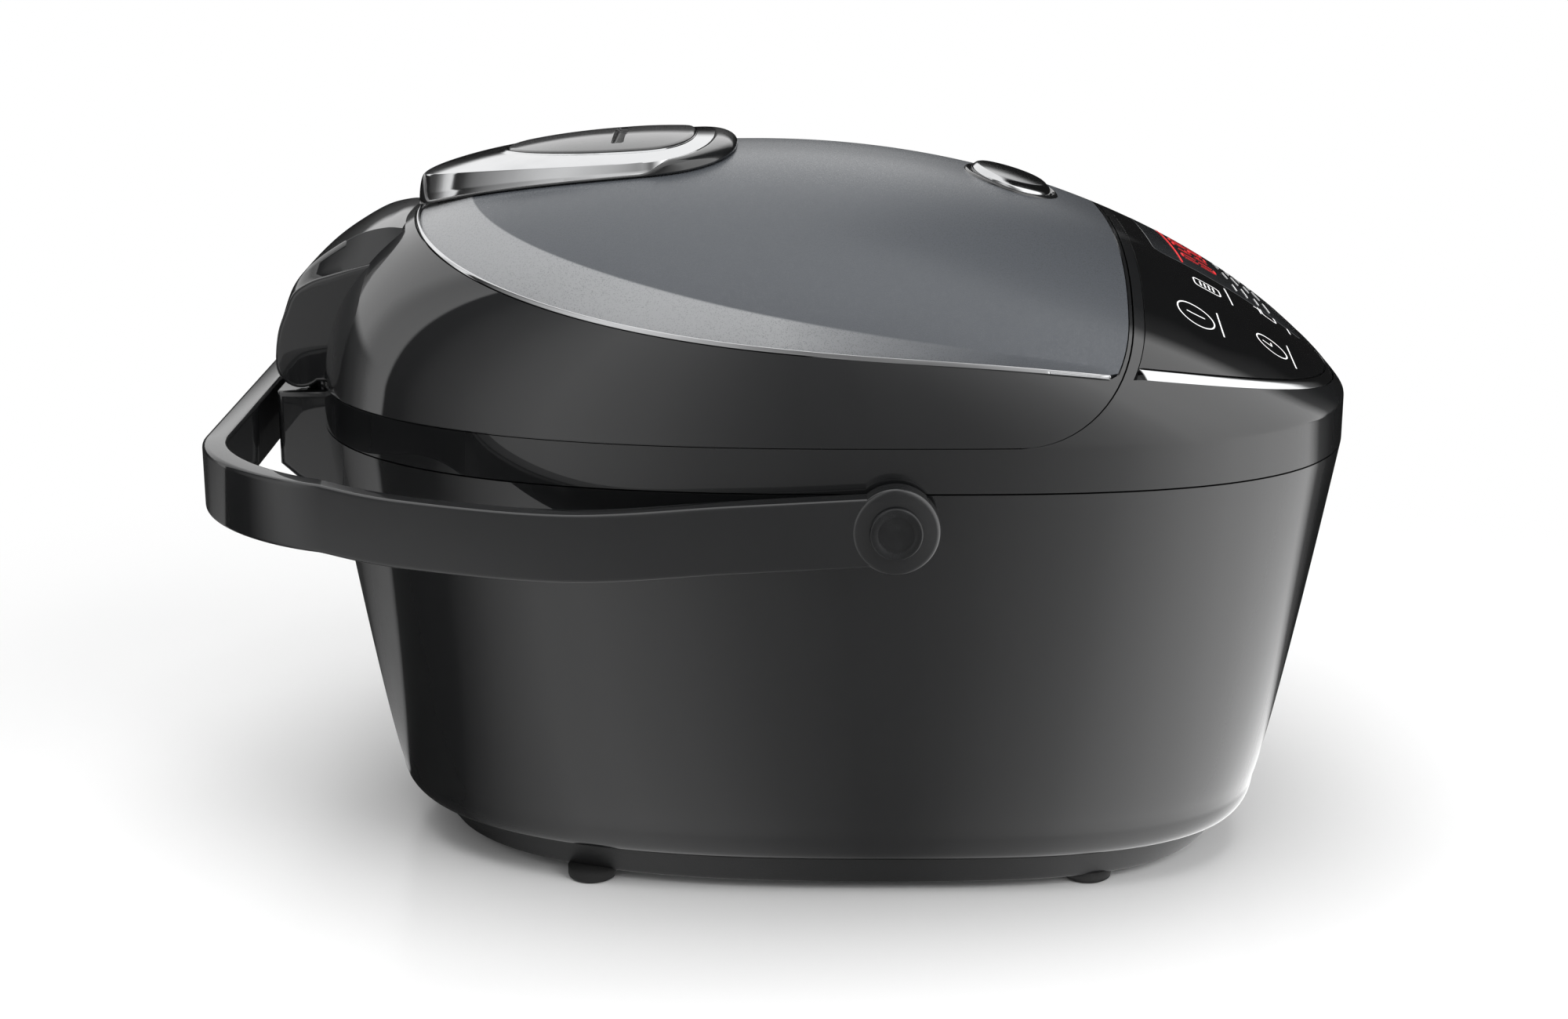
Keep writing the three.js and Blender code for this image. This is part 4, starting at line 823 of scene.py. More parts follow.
def make_housing():
    low, high = housing_low.z, housing_high.z
    levels = [low + CORNER_RISE * (k / CORNER_STEPS) ** CORNER_CROWDING for k in range(CORNER_STEPS)]
    levels += [low + CORNER_RISE + (high - low - CORNER_RISE) * k / HOUSING_STEPS
               for k in range(HOUSING_STEPS + 1)]
    rows = [egg_ring(*housing_size(z), z) for z in levels]
    housing = new_piece("housing_shell", bend_grid(rows), "base", ["lower_housing"], "black_gloss")
    thicken(housing, WALL)
    gap = Vector((FIT, 0, FIT))
    carve(housing, box_shape(inlet_low - gap, Vector((inlet_high.x, housing_high.y, inlet_high.z)) + gap))
    soften(housing)


# Collar: the outer wall, the deck round the pot and the rise to the touch panel

DECK_HOLE = POT_RADIUS - 0.0065
RECESS_RADIUS = POT_RADIUS + 0.001
RECESS_Z = pot_high.z - 0.0023
GLASS_POCKET = 0.0033
GLASS_LEAST = 0.001
GLASS_SHARES = (0.0, 0.5, 1.0)
SEAM_STEPS, BORDER_STEPS, RISE_STEPS, SKIRT_STEPS = 10, 3, 18, 8
RISE_CROWDING = 2.4
SLIVER = 0.0006
DECK_SHARES = (0.08, 0.5, 0.92)


def fold_slivers(rows, first, last):
    """Folds a run of rows away in the directions where it spans next to nothing."""
    for i in range(TURNS):
        if (rows[last][i] - rows[first][i]).length < SLIVER:
            for k in range(first + 1, last + 1):
                rows[k][i] = rows[first][i].copy()


def seam_point(angle, limit, z):
    """A point of the collar along the lid's edge, at one height."""
    radius = reach(lambda x, y: in_lid(x, y, max(z, SPLIT_Z), SEAM), angle)
    return from_pot(angle, min(radius, limit), z)


def rise_row(start, end, share):
    """A row of the rise, a share of the way from one outline to the next."""
    row = []
    for angle, near, far in zip(ANGLES, start, end):
        place = on_crown(angle, between(near, max(far, near), share))
        row.append(place - Vector((0, 0, SEAM / 2 if place.z <= SPLIT_Z + FIT else 0)))
    return row


def make_collar():
    deck, low = SPLIT_Z - SEAM / 2, collar_low.z
    rows = [flat_ring([radius] * TURNS, z)
            for radius, z in ((DECK_HOLE, low), (DECK_HOLE, RECESS_Z), (RECESS_RADIUS, RECESS_Z),
                              (RECESS_RADIUS, deck))]
    seam_foot = len(rows)
    tops = [max(place.z, deck) for place in crown_ring(lid_gap_reach)]
    for k in range(SEAM_STEPS + 1):
        rows.append([seam_point(angle, limit, between(deck, top, k / SEAM_STEPS))
                     for angle, limit, top in zip(ANGLES, lid_gap_reach, tops)])
    glass_start = [min(max(bezel, gap), edge)
                   for bezel, gap, edge in zip(bezel_reach, lid_gap_reach, body_reach)]
    glass_end = [max(panel, start) for panel, start in zip(panel_reach, glass_start)]
    rows += [rise_row(lid_gap_reach, glass_start, k / BORDER_STEPS) for k in range(1, BORDER_STEPS + 1)]
    for share in GLASS_SHARES:
        row = rise_row(glass_start, glass_end, share)
        rows.append([place - Vector((0, 0, GLASS_POCKET if end - start > GLASS_LEAST else 0))
                     for place, start, end in zip(row, glass_start, glass_end)])
    rows += [rise_row(glass_end, body_reach, 1 - (1 - k / RISE_STEPS) ** RISE_CROWDING)
             for k in range(RISE_STEPS + 1)]
    rows += [flat_ring(body_reach, between(deck, low, k / SKIRT_STEPS)) for k in range(1, SKIRT_STEPS + 1)]
    rows.append(flat_ring([radius - WALL for radius in body_reach], low))
    first = seam_foot
    for step in (SEAM_STEPS, BORDER_STEPS, len(GLASS_SHARES), RISE_STEPS + 1):
        fold_slivers(rows, first, first + step)
        first += step
    lip, foot = rows[seam_foot - 1], rows[seam_foot]
    rows[seam_foot:seam_foot] = [[a.lerp(b, share) for a, b in zip(lip, foot)] for share in DECK_SHARES]
    rows.append(rows[0])
    collar = new_piece("collar_shell", bend_grid(rows), "base", ["collar"], "black_gloss")
    soften(collar)


# Touch panel: the cover, the bright strip and the smoked window

FINGER_WELLS = ((0.084, WIDE_Y - 0.112), (0.074, WIDE_Y - 0.140))
WELL_REACH_X, WELL_REACH_Y = 0.0125, 0.0105
WELL_DEPTH = 0.0010
COVER_LEAST = 0.0005
COVER_STEPS_ROUND, COVER_STEPS_OUT = 220, 60
COVER_THICK = 0.0022
STRIP_STEPS = 6
STRIP_ARCH, STRIP_FALL = 0.0005, 0.0006
STRIP_THICK = 0.003
WINDOW_STEPS = 32
WINDOW_CORNER = 0.005
WINDOW_LIFT = 0.00008
WINDOW_THICK = 0.0006


def panel_angles():
    """Directions, from the middle of the pot, in which the touch panel lies."""
    shown = [angle for angle, near, far in zip(ANGLES, bezel_reach, panel_reach)
             if far - near > COVER_LEAST]
    first, last = min(shown), max(shown)
    return [between(first, last, k / COVER_STEPS_ROUND) for k in range(COVER_STEPS_ROUND + 1)]


def panel_drop(x, y):
    """How deep the touch cover dips round its two outer keys, on either side."""
    drop = 0.0
    for well_x, well_y in FINGER_WELLS:
        away = math.hypot((abs(x) - well_x) / WELL_REACH_X, (y - well_y) / WELL_REACH_Y)
        drop += WELL_DEPTH * math.exp(-away ** 3)
    return drop


def on_panel(x, y, lift=0.0):
    return Vector((x, y, crown(x, y) - panel_drop(x, y) + lift))


def make_cover():
    spans = []
    for angle in panel_angles():
        near = reach(lambda x, y: in_lid(x, y, grow=PANEL_BEZEL + FIT), angle)
        far = reach(lambda x, y: in_panel(x, y, STRIP_WIDTH + FIT), angle)
        spans.append((angle, near, max(far, near)))
    rows = []
    for k in range(COVER_STEPS_OUT + 1):
        places = [from_pot(angle, between(near, far, k / COVER_STEPS_OUT), 0)
                  for angle, near, far in spans]
        rows.append([on_panel(place.x, place.y) for place in places])
    cover = new_piece("touch_cover", bend_grid(rows, closed=False), "base", ["panel_glass"], "panel_glass")
    thicken(cover, COVER_THICK)
    soften(cover)


def make_panel_strip():
    """The bright strip along the panel's outer edge, wherever that edge is clear of the lid."""
    spans = []
    for angle in panel_angles():
        near = reach(lambda x, y: in_panel(x, y, STRIP_WIDTH), angle)
        far = reach(lambda x, y: in_panel(x, y, FIT), angle)
        if near > reach(lambda x, y: in_lid(x, y, grow=PANEL_BEZEL), angle):
            spans.append((angle, near, far))
    rows = []
    for k in range(STRIP_STEPS + 1):
        share = k / STRIP_STEPS
        lift = STRIP_ARCH * math.sin(math.pi * share) - STRIP_FALL * share
        rows.append([on_crown(angle, between(near, far, share), lift) for angle, near, far in spans])
    strip = new_piece("panel_edge_strip", bend_grid(rows, closed=False), "base", ["panel_strip"],
                      "bright_trim")
    thicken(strip, STRIP_THICK)
    soften(strip)


def make_window():
    """The smoked window: a thin rounded rectangle that lies on the crown."""
    centre_y = (window_low.y + window_high.y) / 2
    half_x, half_y = (window_high.x - window_low.x) / 2, (window_high.y - window_low.y) / 2
    bm = bmesh.new()
    bmesh.ops.create_grid(bm, x_segments=WINDOW_STEPS, y_segments=WINDOW_STEPS, size=1)
    for vert in bm.verts:
        x, y = vert.co.x * half_x, vert.co.y * half_y
        over_x = max(0.0, abs(x) - (half_x - WINDOW_CORNER))
        over_y = max(0.0, abs(y) - (half_y - WINDOW_CORNER))
        away = math.hypot(over_x, over_y)
        if away > WINDOW_CORNER:
            x -= math.copysign(over_x * (1 - WINDOW_CORNER / away), x)
            y -= math.copysign(over_y * (1 - WINDOW_CORNER / away), y)
        vert.co = (x, centre_y + y, crown(x, centre_y + y) + WINDOW_LIFT)
    window = new_piece("display_lens", bm, "base", ["display_window"], "display_smoke")
    thicken(window, WINDOW_THICK)
    soften(window)


# Marks on the touch cover: key signs with a line under each, and the lit display

INK_LIFT = 0.00006
INK_THICK = 0.00005
STROKE, THIN_STROKE, BOLD_STROKE, DOT_STROKE = 0.0005, 0.0004, 0.0006, 0.0010
LOOP_TURNS = 64

MENU_BARS = [(0.0528, y, 0.0572, y) for y in (-0.1476, -0.1492, -0.1508, -0.1524)]

# Key signs of the right half, which the left half mirrors: the middle, half sizes and power of a frame,
# and the ends of plain and of bold lines
KEY_SIGNS = {
    "power": ((0.0855, -0.1415, 0.0066, 0.0066, 2),
              [(0.0852, -0.1382, 0.0850, -0.1448), (0.0763, -0.1503, 0.0915, -0.1508)], []),
    "menu": ((0.0550, -0.1500, 0.0040, 0.0048, 5), [(0.0423, -0.1585, 0.0601, -0.1588)], MENU_BARS),
    "pot": ((0.0405, -0.1755, 0.0042, 0.0026, 5),
            [(0.0355, -0.1720, 0.0455, -0.1720), (0.0405, -0.1720, 0.0405, -0.1700),
             (0.0300, -0.1835, 0.0445, -0.1833)], []),
    "timer": ((0.0762, -0.1706, 0.0055, 0.0055, 2),
              [(0.0762, -0.1706, 0.0762, -0.1672), (0.0762, -0.1706, 0.0738, -0.1706),
               (0.0655, -0.1780, 0.0820, -0.1786)], []),
}


def stroke(start, end, width=STROKE, steps=12):
    """A straight printed line on the cover."""
    along = (Vector(end) - Vector(start)).normalized()
    aside = Vector((-along.y, along.x)) * width / 2
    rows = []
    for side in (-1, 1):
        places = [Vector(start).lerp(Vector(end), k / steps) + aside * side for k in range(steps + 1)]
        rows.append([on_panel(place.x, place.y, INK_LIFT) for place in places])
    return bend_grid(rows, closed=False)


def loop(centre_x, centre_y, half_x, half_y, power):
    """A printed ring or rounded frame on the cover."""
    rows = []
    for grow in (-STROKE / 2, STROKE / 2):
        row = []
        for angle in angles_round(LOOP_TURNS):
            length = half_y + grow
            x, y = egg_point(angle, half_x + grow, length, length, (power, power), centre_y)
            row.append(on_panel(centre_x + x, y, INK_LIFT))
        rows.append(row)
    return bend_grid(rows)


def mark(name, finish, *shapes):
    piece = new_piece(name, joined(*shapes), "base", (), "panel_glass", finish)
    thicken(piece, INK_THICK)
    return piece


def make_key_marks():
    for word, side in (("left", -1), ("right", 1)):
        for sign, ((x, y, half_x, half_y, power), plain, bold) in KEY_SIGNS.items():
            shapes = [loop(side * x, y, half_x, half_y, power)]
            for lines, width in ((plain, STROKE), (bold, BOLD_STROKE)):
                shapes += [stroke((side * x0, y0), (side * x1, y1), width) for x0, y0, x1, y1 in lines]
            mark(f"{sign}_sign_{word}", "printed_white", *shapes)


DIGIT_SEGMENTS = {"0": "abcdef", "1": "bc", "3": "abgcd"}
DIGIT_HALF_X, DIGIT_HALF_Y = 0.0034, 0.0062
DIGIT_GAP = 0.0005
FIGURES = "0130"
FIGURES_X = (-0.0175, -0.0070, 0.0067, 0.0172)
FIGURES_Y = WIDE_Y - 0.119
COLON_X, COLON_OUT, COLON_HALF = -0.0005, 0.0024, 0.0005
RULE_HALF, RULE_Y = 0.036, WIDE_Y - 0.1100
BAR_COLUMNS = (-0.031, -0.010, 0.011)
BAR_ROWS, BAR_FIRST_Y, BAR_PITCH = 4, WIDE_Y - 0.1315, 0.0042
BAR_SHORT, BAR_STEP = 0.010, 0.0022
DISPLAY_LIFT = 0.00022


def digit(sign, x, y):
    """Seven-segment figure read from the front: up is towards the hinge."""
    a, b = DIGIT_HALF_X, DIGIT_HALF_Y
    ends = {"a": (-a, b, a, b), "b": (a, b, a, 0), "c": (a, 0, a, -b), "d": (-a, -b, a, -b),
            "e": (-a, -b, -a, 0), "f": (-a, 0, -a, b), "g": (-a, 0, a, 0)}
    shapes = []
    for segment in DIGIT_SEGMENTS[sign]:
        x0, y0, x1, y1 = ends[segment]
        start, end = Vector((x + x0, y + y0)), Vector((x + x1, y + y1))
        inset = (end - start).normalized() * DIGIT_GAP
        shapes.append(stroke(start + inset, end - inset, BOLD_STROKE, 4))
    return shapes


def make_display_marks():
    shapes = []
    for sign, x in zip(FIGURES, FIGURES_X):
        shapes += digit(sign, x, FIGURES_Y)
    for y in (FIGURES_Y - COLON_OUT, FIGURES_Y + COLON_OUT):
        shapes.append(stroke((COLON_X, y - COLON_HALF), (COLON_X, y + COLON_HALF), DOT_STROKE, 2))
    shapes.append(stroke((-RULE_HALF, RULE_Y), (RULE_HALF, RULE_Y), STROKE, 40))
    lit = mark("display_figures", "lit_red", *shapes)
    bars = []
    for column, x in enumerate(BAR_COLUMNS):
        for row in range(BAR_ROWS):
            length = BAR_SHORT + BAR_STEP * ((column + 2 * row) % 4)
            y = BAR_FIRST_Y - BAR_PITCH * row
            bars.append(stroke((x, y), (x + length, y), THIN_STROKE))
    dim = mark("display_bars", "printed_white", *bars)
    for piece in (lit, dim):
        for vert in piece.data.vertices:
            vert.co.z += DISPLAY_LIFT


# Lid: the shell with its rounded front, the top insert and the bright line round it

LID_WALL = 0.006
LID_FLOOR = 0.0047
LID_SIDE_STEPS, LID_TOP_STEPS = 10, 34
LID_TOP_CROWDING = 2.2
RIM_LEAST = 0.0012
LEDGE_SHARE = 0.06
FLOOR_SHARES = (0.07, 0.3, 0.6, 0.85, 1.0)
CEILING_SHARES = (1.0, 0.85, 0.6, 0.35, 0.15, 0.04)
FACET_LEAST, FACET_MORE, FACET_POWER = 0.0012, 0.0183, 1.5
FACET_DROP = 0.0014
FACET_ROOM = (0.002, 0.006)
# Bevel widths over which the border's painted reflection fades in
PAINTED_BORDER_WIDTHS = (0.003, 0.007)
FACET_STEPS, INSERT_STEPS = 5, 40
INSERT_LEAST = 0.0016
BUTTON_LEDGE, BUTTON_NEAR = 0.0012, 1.5
TRIM_FRONT_SHARE = 0.4
TRIM_LEAST = 0.0005
TRIM_STEPS = 6
TRIM_ARCH, TRIM_SINK = 0.0007, 0.0002
TRIM_THICK = 0.0018


def make_lid_shell():
    low = lid_low.z
    rim = [min(radius + FIT, edge - RIM_LEAST) for radius, edge in zip(insert_reach, lid_reach)]
    tops = [max(low, place.z) for place in crown_ring(lid_reach)]
    feet = all_round(lambda angle: reach(lambda x, y: in_lid(x, y, low), angle) - LID_WALL)

    def side_ring(share):
        row = []
        for angle, edge, top in zip(ANGLES, lid_reach, tops):
            z = between(low, top, share)
            radius = reach(lambda x, y: in_lid(x, y, z), angle)
            row.append(from_pot(angle, min(radius, edge), z))
        return row

    def top_ring(share, lift=0.0):
        return crown_ring([between(edge, inner, share) for edge, inner in zip(lid_reach, rim)], lift)

    def floor_ring(share, lift):
        return crown_ring([inner * (1 - share) for inner in rim], lift)

    def ceiling_ring(share):
        places = crown_ring([between(foot, 0.0, share) for foot in feet], -LID_WALL)
        return [Vector((place.x, place.y, max(low, place.z))) for place in places]

    foot_ring = flat_ring(feet, low)
    rows = [foot_ring] + [side_ring(k / LID_SIDE_STEPS) for k in range(LID_SIDE_STEPS)]
    rows += [top_ring(1 - (1 - k / LID_TOP_STEPS) ** LID_TOP_CROWDING) for k in range(LID_TOP_STEPS + 1)]
    rows.append(top_ring(1, -INSERT_THICK - FIT))
    rows.append(floor_ring(LEDGE_SHARE, -INSERT_THICK - FIT))
    rows += [floor_ring(share, -LID_FLOOR) for share in FLOOR_SHARES]
    ceiling = [ceiling_ring(share) for share in CEILING_SHARES] + [foot_ring]
    lid = new_piece("lid_dome", joined(bend_grid(rows), bend_grid(ceiling)), "lid", ["lid_shell"],
                    "black_gloss")
    soften(lid)


def rearward(angle):
    """Nothing towards the front and one towards the hinge."""
    return 0.5 + 0.5 * math.sin(angle)


def trim_width(angle):
    """The bright line round the insert narrows towards the front."""
    return TRIM_WIDTH * between(TRIM_FRONT_SHARE, 1.0, rearward(angle))


def facet_width(angle):
    """The insert's bevelled border, widest beside the steam valve."""
    return FACET_LEAST + FACET_MORE * rearward(angle) ** FACET_POWER


def open_under_button(sheet):
    """Opens a sheet on the crown where the button sits and lays the edge along an oval."""
    middle = (bezel_low + bezel_high) / 2
    half = (bezel_high - bezel_low) / 2 - Vector((BUTTON_LEDGE, BUTTON_LEDGE, 0))

    def away(place):
        return math.hypot((place.x - middle.x) / half.x, (place.y - middle.y) / half.y)

    bmesh.ops.remove_doubles(sheet, verts=sheet.verts, dist=MERGE)
    inside = [face for face in sheet.faces if away(face.calc_center_median()) < 1]
    bmesh.ops.delete(sheet, geom=inside, context="FACES")
    for vert in sheet.verts:
        share = away(vert.co)
        if vert.is_boundary and share < BUTTON_NEAR:
            x = middle.x + (vert.co.x - middle.x) / share
            y = middle.y + (vert.co.y - middle.y) / share
            vert.co = (x, y, crown(x, y))


def mark_painted_border(insert, core):
    """Writes the bevelled border, outside the core, as an attribute that the lacquer reads to paint its
    paler painted reflection there.
    """
    border = insert.data.attributes.new("border", "FLOAT", "POINT")
    for vert in insert.data.vertices:
        angle = math.atan2(vert.co.y - POT_Y, vert.co.x) % (2 * math.pi)
        place = angle / (2 * math.pi) * TURNS
        low, share = int(place) % TURNS, place % 1
        limit = between(core[low], core[(low + 1) % TURNS], share)
        from_middle = math.hypot(vert.co.x, vert.co.y - POT_Y)
        # The painted reflection shows more strongly where the bevel is wider.
        plain = ramp(facet_width(ANGLES[low]), *PAINTED_BORDER_WIDTHS)
        border.data[vert.index].value = plain if from_middle > limit - FIT else 0.0


def make_insert():
    edge = [min(radius - trim_width(angle) - FIT, lid_edge - INSERT_LEAST)
            for angle, radius, lid_edge in zip(ANGLES, insert_reach, lid_reach)]
    core = [radius - facet_width(angle) for angle, radius in zip(ANGLES, edge)]
    beside = [ramp(lid_edge - radius, *FACET_ROOM) for radius, lid_edge in zip(insert_reach, lid_reach)]
    rows = []
    for k in range(FACET_STEPS + 1):
        share = k / FACET_STEPS
        rows.append([on_crown(angle, radius - facet_width(angle) * share, -FACET_DROP * (1 - share) * full)
                     for angle, radius, full in zip(ANGLES, edge, beside)])
    rows.append(crown_ring([radius - 2 * FIT for radius in core]))
    rows += [crown_ring([radius * (1 - k / INSERT_STEPS) for radius in core])
             for k in range(1, INSERT_STEPS + 1)]
    sheet = bend_grid(rows)
    open_under_button(sheet)
    insert = new_piece("top_insert", sheet, "lid", ["lid_top_panel"], "grey_lacquer")
    mark_painted_border(insert, core)
    thicken(insert, INSERT_THICK)
    soften(insert)


def make_lid_trim():
    shown = [(angle, radius) for angle, radius, edge in zip(ANGLES, insert_reach, lid_reach)
             if radius < edge - TRIM_LEAST]
    shown.sort(key=lambda pair: (pair[0] + math.pi / 2) % (2 * math.pi))
    rows = []
    for k in range(TRIM_STEPS + 1):
        share = k / TRIM_STEPS
        lift = TRIM_ARCH * math.sin(math.pi * share) - TRIM_SINK
        rows.append([on_crown(angle, radius - trim_width(angle) * share, lift) for angle, radius in shown])
    trim = new_piece("insert_edge_line", bend_grid(rows, closed=False), "lid", ["lid_trim"], "bright_trim")
    thicken(trim, TRIM_THICK)


# Base pan, feet and the supply inlet

BASE_INSET = (0.0045, 0.010, 0.008)
BASE_MIDDLE_Y = WIDE_Y + 0.02
BASE_FLOOR = 0.004
BASE_CENTRAL = 0.09
BASE_UNDER = ((BASE_CENTRAL, 0.0), (0.03, 0.0), (0.004, 0.0), (0.001, 0.0003))
BASE_ROUND = 0.001
BASE_STEPS = 8
VENTS, VENT_PITCH = 6, 0.012
VENT_HALF_X, VENT_HALF_Y, VENT_ROUND = 0.0025, 0.030, 0.0012
VENT_Y = WIDE_Y + 0.040
CUT_PAST = 0.002
FOOT_HOLLOW = 0.0006
FOOT_ROUND = 0.0016
INLET_WALL, INLET_DEPTH, INLET_PAST = 0.0025, 0.005, 0.01
INLET_ROUND, RECESS_ROUND = 0.0012, 0.003


def make_base():
    low, high = base_low.z, base_high.z
    floor_z = low + BASE_FLOOR

    def ring(share, inset, z):
        """The pan's outline, a share of the way from its underside to its top."""
        return egg_ring(*(between(top - out, top, share) - inset
                          for top, out in zip(HOUSING_FOOT, BASE_INSET)), z)

    rows = [[Vector((0, BASE_MIDDLE_Y, low))] * TURNS]
    rows += [ring(0, inset, low + rise) for inset, rise in BASE_UNDER]
    rows += [ring(k / BASE_STEPS, 0, between(low + BASE_ROUND, high, k / BASE_STEPS))
             for k in range(BASE_STEPS + 1)]
    rows += [ring(1, WALL, high), ring(0.1, WALL, floor_z), ring(0, BASE_CENTRAL, floor_z)]
    rows.append([Vector((0, BASE_MIDDLE_Y, floor_z))] * TURNS)
    pan = new_piece("base_tray", bend_grid(rows), "base", ["base_pan"], "black_matte")
    openings = []
    for i in range(VENTS):
        x = (i - (VENTS - 1) / 2) * VENT_PITCH
        openings.append(box_shape((x - VENT_HALF_X, VENT_Y - VENT_HALF_Y, low - CUT_PAST),
                                  (x + VENT_HALF_X, VENT_Y + VENT_HALF_Y, floor_z + CUT_PAST), VENT_ROUND))
    for i in range(1, 5):
        screw_low, screw_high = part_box(f"base_screw_{i}")
        centre = (screw_low + screw_high) / 2
        openings.append(rod(screw_high.x - centre.x + FIT, (centre.x, centre.y, low - CUT_PAST),
                            (centre.x, centre.y, screw_high.z + FIT)))
    carve(pan, *openings)
    soften(pan)


def make_feet():
    for i in range(1, 5):
        low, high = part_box(f"foot_{i}")
        centre = Vector(((low.x + high.x) / 2, (low.y + high.y) / 2, 0))
        radius = high.x - centre.x
        hollow = low.z + FOOT_HOLLOW
        profile = [(0, hollow), (radius * 0.55, hollow), (radius * 0.6, low.z), (radius - 0.0012, low.z),
                   (radius - 0.0003, low.z + 0.0006), (radius, low.z + FOOT_ROUND), (radius, high.z),
                   (0, high.z)]
        new_piece(f"rubber_foot_{i}", spun(profile, centre), "base", [f"foot_{i}"], "foot_rubber")


def make_inlet():
    """The supply inlet: a flanged socket with a shaped recess round its three pins."""
    socket = new_piece("inlet_socket", box_shape(inlet_low, inlet_high, INLET_ROUND), "base",
                       ["power_inlet"], "black_satin")
    carve(socket, box_shape(inlet_low + Vector((INLET_WALL, INLET_DEPTH, INLET_WALL)),
                            inlet_high + Vector((-INLET_WALL, INLET_PAST, -INLET_WALL)), RECESS_ROUND, 4))
    soften(socket)


# Carry handle: two arms and a rear bar, swept as one section with rounded edges, and its pivots

HANDLE_THICK = 0.0088
HANDLE_ROUND = 0.0017
ARM_HEIGHT, BAR_HEIGHT = 0.024, 0.0235
ARM_X = handle_high.x - HANDLE_THICK / 2
BAR_Y = handle_high.y - HANDLE_THICK / 2
BAR_Z = handle_high.z - BAR_HEIGHT / 2
BAR_CORNER = 0.042
CORNER_Z = (PIVOT_Z - 0.001 + BAR_Z) / 2
ARM_DIP_Y, ARM_RISE_Y = WIDE_Y + 0.110, WIDE_Y + 0.165
ARM_LINE = ((WIDE_Y, PIVOT_Z), ((WIDE_Y + ARM_DIP_Y) / 2, PIVOT_Z - 0.003), (ARM_DIP_Y, PIVOT_Z - 0.006),
            (ARM_RISE_Y, PIVOT_Z - 0.001), (BAR_Y - BAR_CORNER, CORNER_Z))
ARM_STEPS, CORNER_STEPS_ROUND, BAR_STEPS = 48, 20, 8
QUARTER_POINTS = 10
BOSS_RADIUS, BOSS_ROUND, BOSS_PROUD = 0.015, 0.0016, 0.0003
CAP_RADIUS, CAP_ROUND, CAP_HEIGHT = 0.009, 0.0008, 0.0024
CAP_BORDER, CAP_STEP, CAP_SINK = 0.0018, 0.0006, 0.0007
SHAFT_RADIUS = 0.0046
WASHER_RADIUS, WASHER_X = 0.011, 0.1443


def handle_path():
    """Places along the handle, from one pivot round the bar to the other, each with its turn in plan."""
    path = []
    for k in range(ARM_STEPS + 1):
        y, z = curve_point(ARM_LINE, k / ARM_STEPS * (len(ARM_LINE) - 1))
        path.append((ARM_X, y, z, 0.0))
    for turn in quarter_turn(CORNER_STEPS_ROUND, 1):
        path.append((ARM_X - BAR_CORNER + BAR_CORNER * math.cos(turn),
                     BAR_Y - BAR_CORNER + BAR_CORNER * math.sin(turn),
                     between(CORNER_Z, BAR_Z, math.sin(turn)), turn))
    for k in range(1, BAR_STEPS + 1):
        path.append(((ARM_X - BAR_CORNER) * (1 - k / BAR_STEPS), BAR_Y, BAR_Z, math.pi / 2))
    return path + [(-x, y, z, math.pi - turn) for x, y, z, turn in reversed(path[:-1])]


def handle_section(x, y, z, turn):
    """A rounded rectangle across the handle; the bar is a little lower than the arms."""
    to_bar = ramp(y, ARM_DIP_Y, BAR_Y)
    half_height = between(ARM_HEIGHT, BAR_HEIGHT, to_bar) / 2
    points = []
    for quarter, side_out, side_up in ((0, 1, 1), (1, -1, 1), (2, -1, -1), (3, 1, -1)):
        for step in range(QUARTER_POINTS):
            angle = quarter * math.pi / 2 + step / (QUARTER_POINTS - 1) * math.pi / 2
            out = side_out * (HANDLE_THICK / 2 - HANDLE_ROUND) + HANDLE_ROUND * math.cos(angle)
            up = side_up * (half_height - HANDLE_ROUND) + HANDLE_ROUND * math.sin(angle)
            points.append(Vector((x + out * math.cos(turn), y + out * math.sin(turn), z + up)))
    return points


def make_handle():
    rings = [handle_section(*station) for station in handle_path()]
    first, last = ([sum(ring, Vector()) / len(ring)] * len(ring) for ring in (rings[0], rings[-1]))
    bar = bend_grid([first, *rings, last])
    bosses = []
    for side in (-1, 1):
        inner = side * (handle_high.x - HANDLE_THICK - BOSS_PROUD)
        outer = side * (handle_high.x + BOSS_PROUD)
        boss = rod(BOSS_RADIUS, (inner, WIDE_Y, PIVOT_Z), (outer, WIDE_Y, PIVOT_Z), 96)
        round_edges(boss, rim_edges(boss), BOSS_ROUND, 4)
        bosses.append(boss)
    new_piece("carry_arm", joined(bar, *bosses), "handle", ["carry_handle"], "black_gloss")


def make_pivots():
    for word, side in (("left", -1), ("right", 1)):
        low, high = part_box(f"handle_pivot_{word}")
        inner, outer = (high.x, low.x) if side < 0 else (low.x, high.x)
        head = outer - side * CAP_HEIGHT
        wall = side * (HALF_WIDTH + 0.0002 - 0.002)
        cap = rod(CAP_RADIUS, (head, WIDE_Y, PIVOT_Z), (outer, WIDE_Y, PIVOT_Z), 96)
        round_edges(cap, rim_edges(cap), CAP_ROUND, 4)
        face = [f for f in cap.faces if abs(f.calc_center_median().x - outer) < 1e-5 and len(f.verts) > 8]
        bmesh.ops.inset_region(cap, faces=face, thickness=CAP_BORDER)
        bmesh.ops.inset_region(cap, faces=face, thickness=CAP_STEP, depth=-CAP_SINK)
        shaft = rod(SHAFT_RADIUS, (inner, WIDE_Y, PIVOT_Z), (head, WIDE_Y, PIVOT_Z), 48)
        washer = rod(WASHER_RADIUS, (wall, WIDE_Y, PIVOT_Z), (side * WASHER_X, WIDE_Y, PIVOT_Z), 96)
        pivot = new_piece(f"pivot_cap_{word}", joined(cap, shaft, washer), "base",
                          [f"handle_pivot_{word}"], "black_satin")
        soften(pivot)


# Hinge: the hood on the lid, the bracket and lower cover on the housing

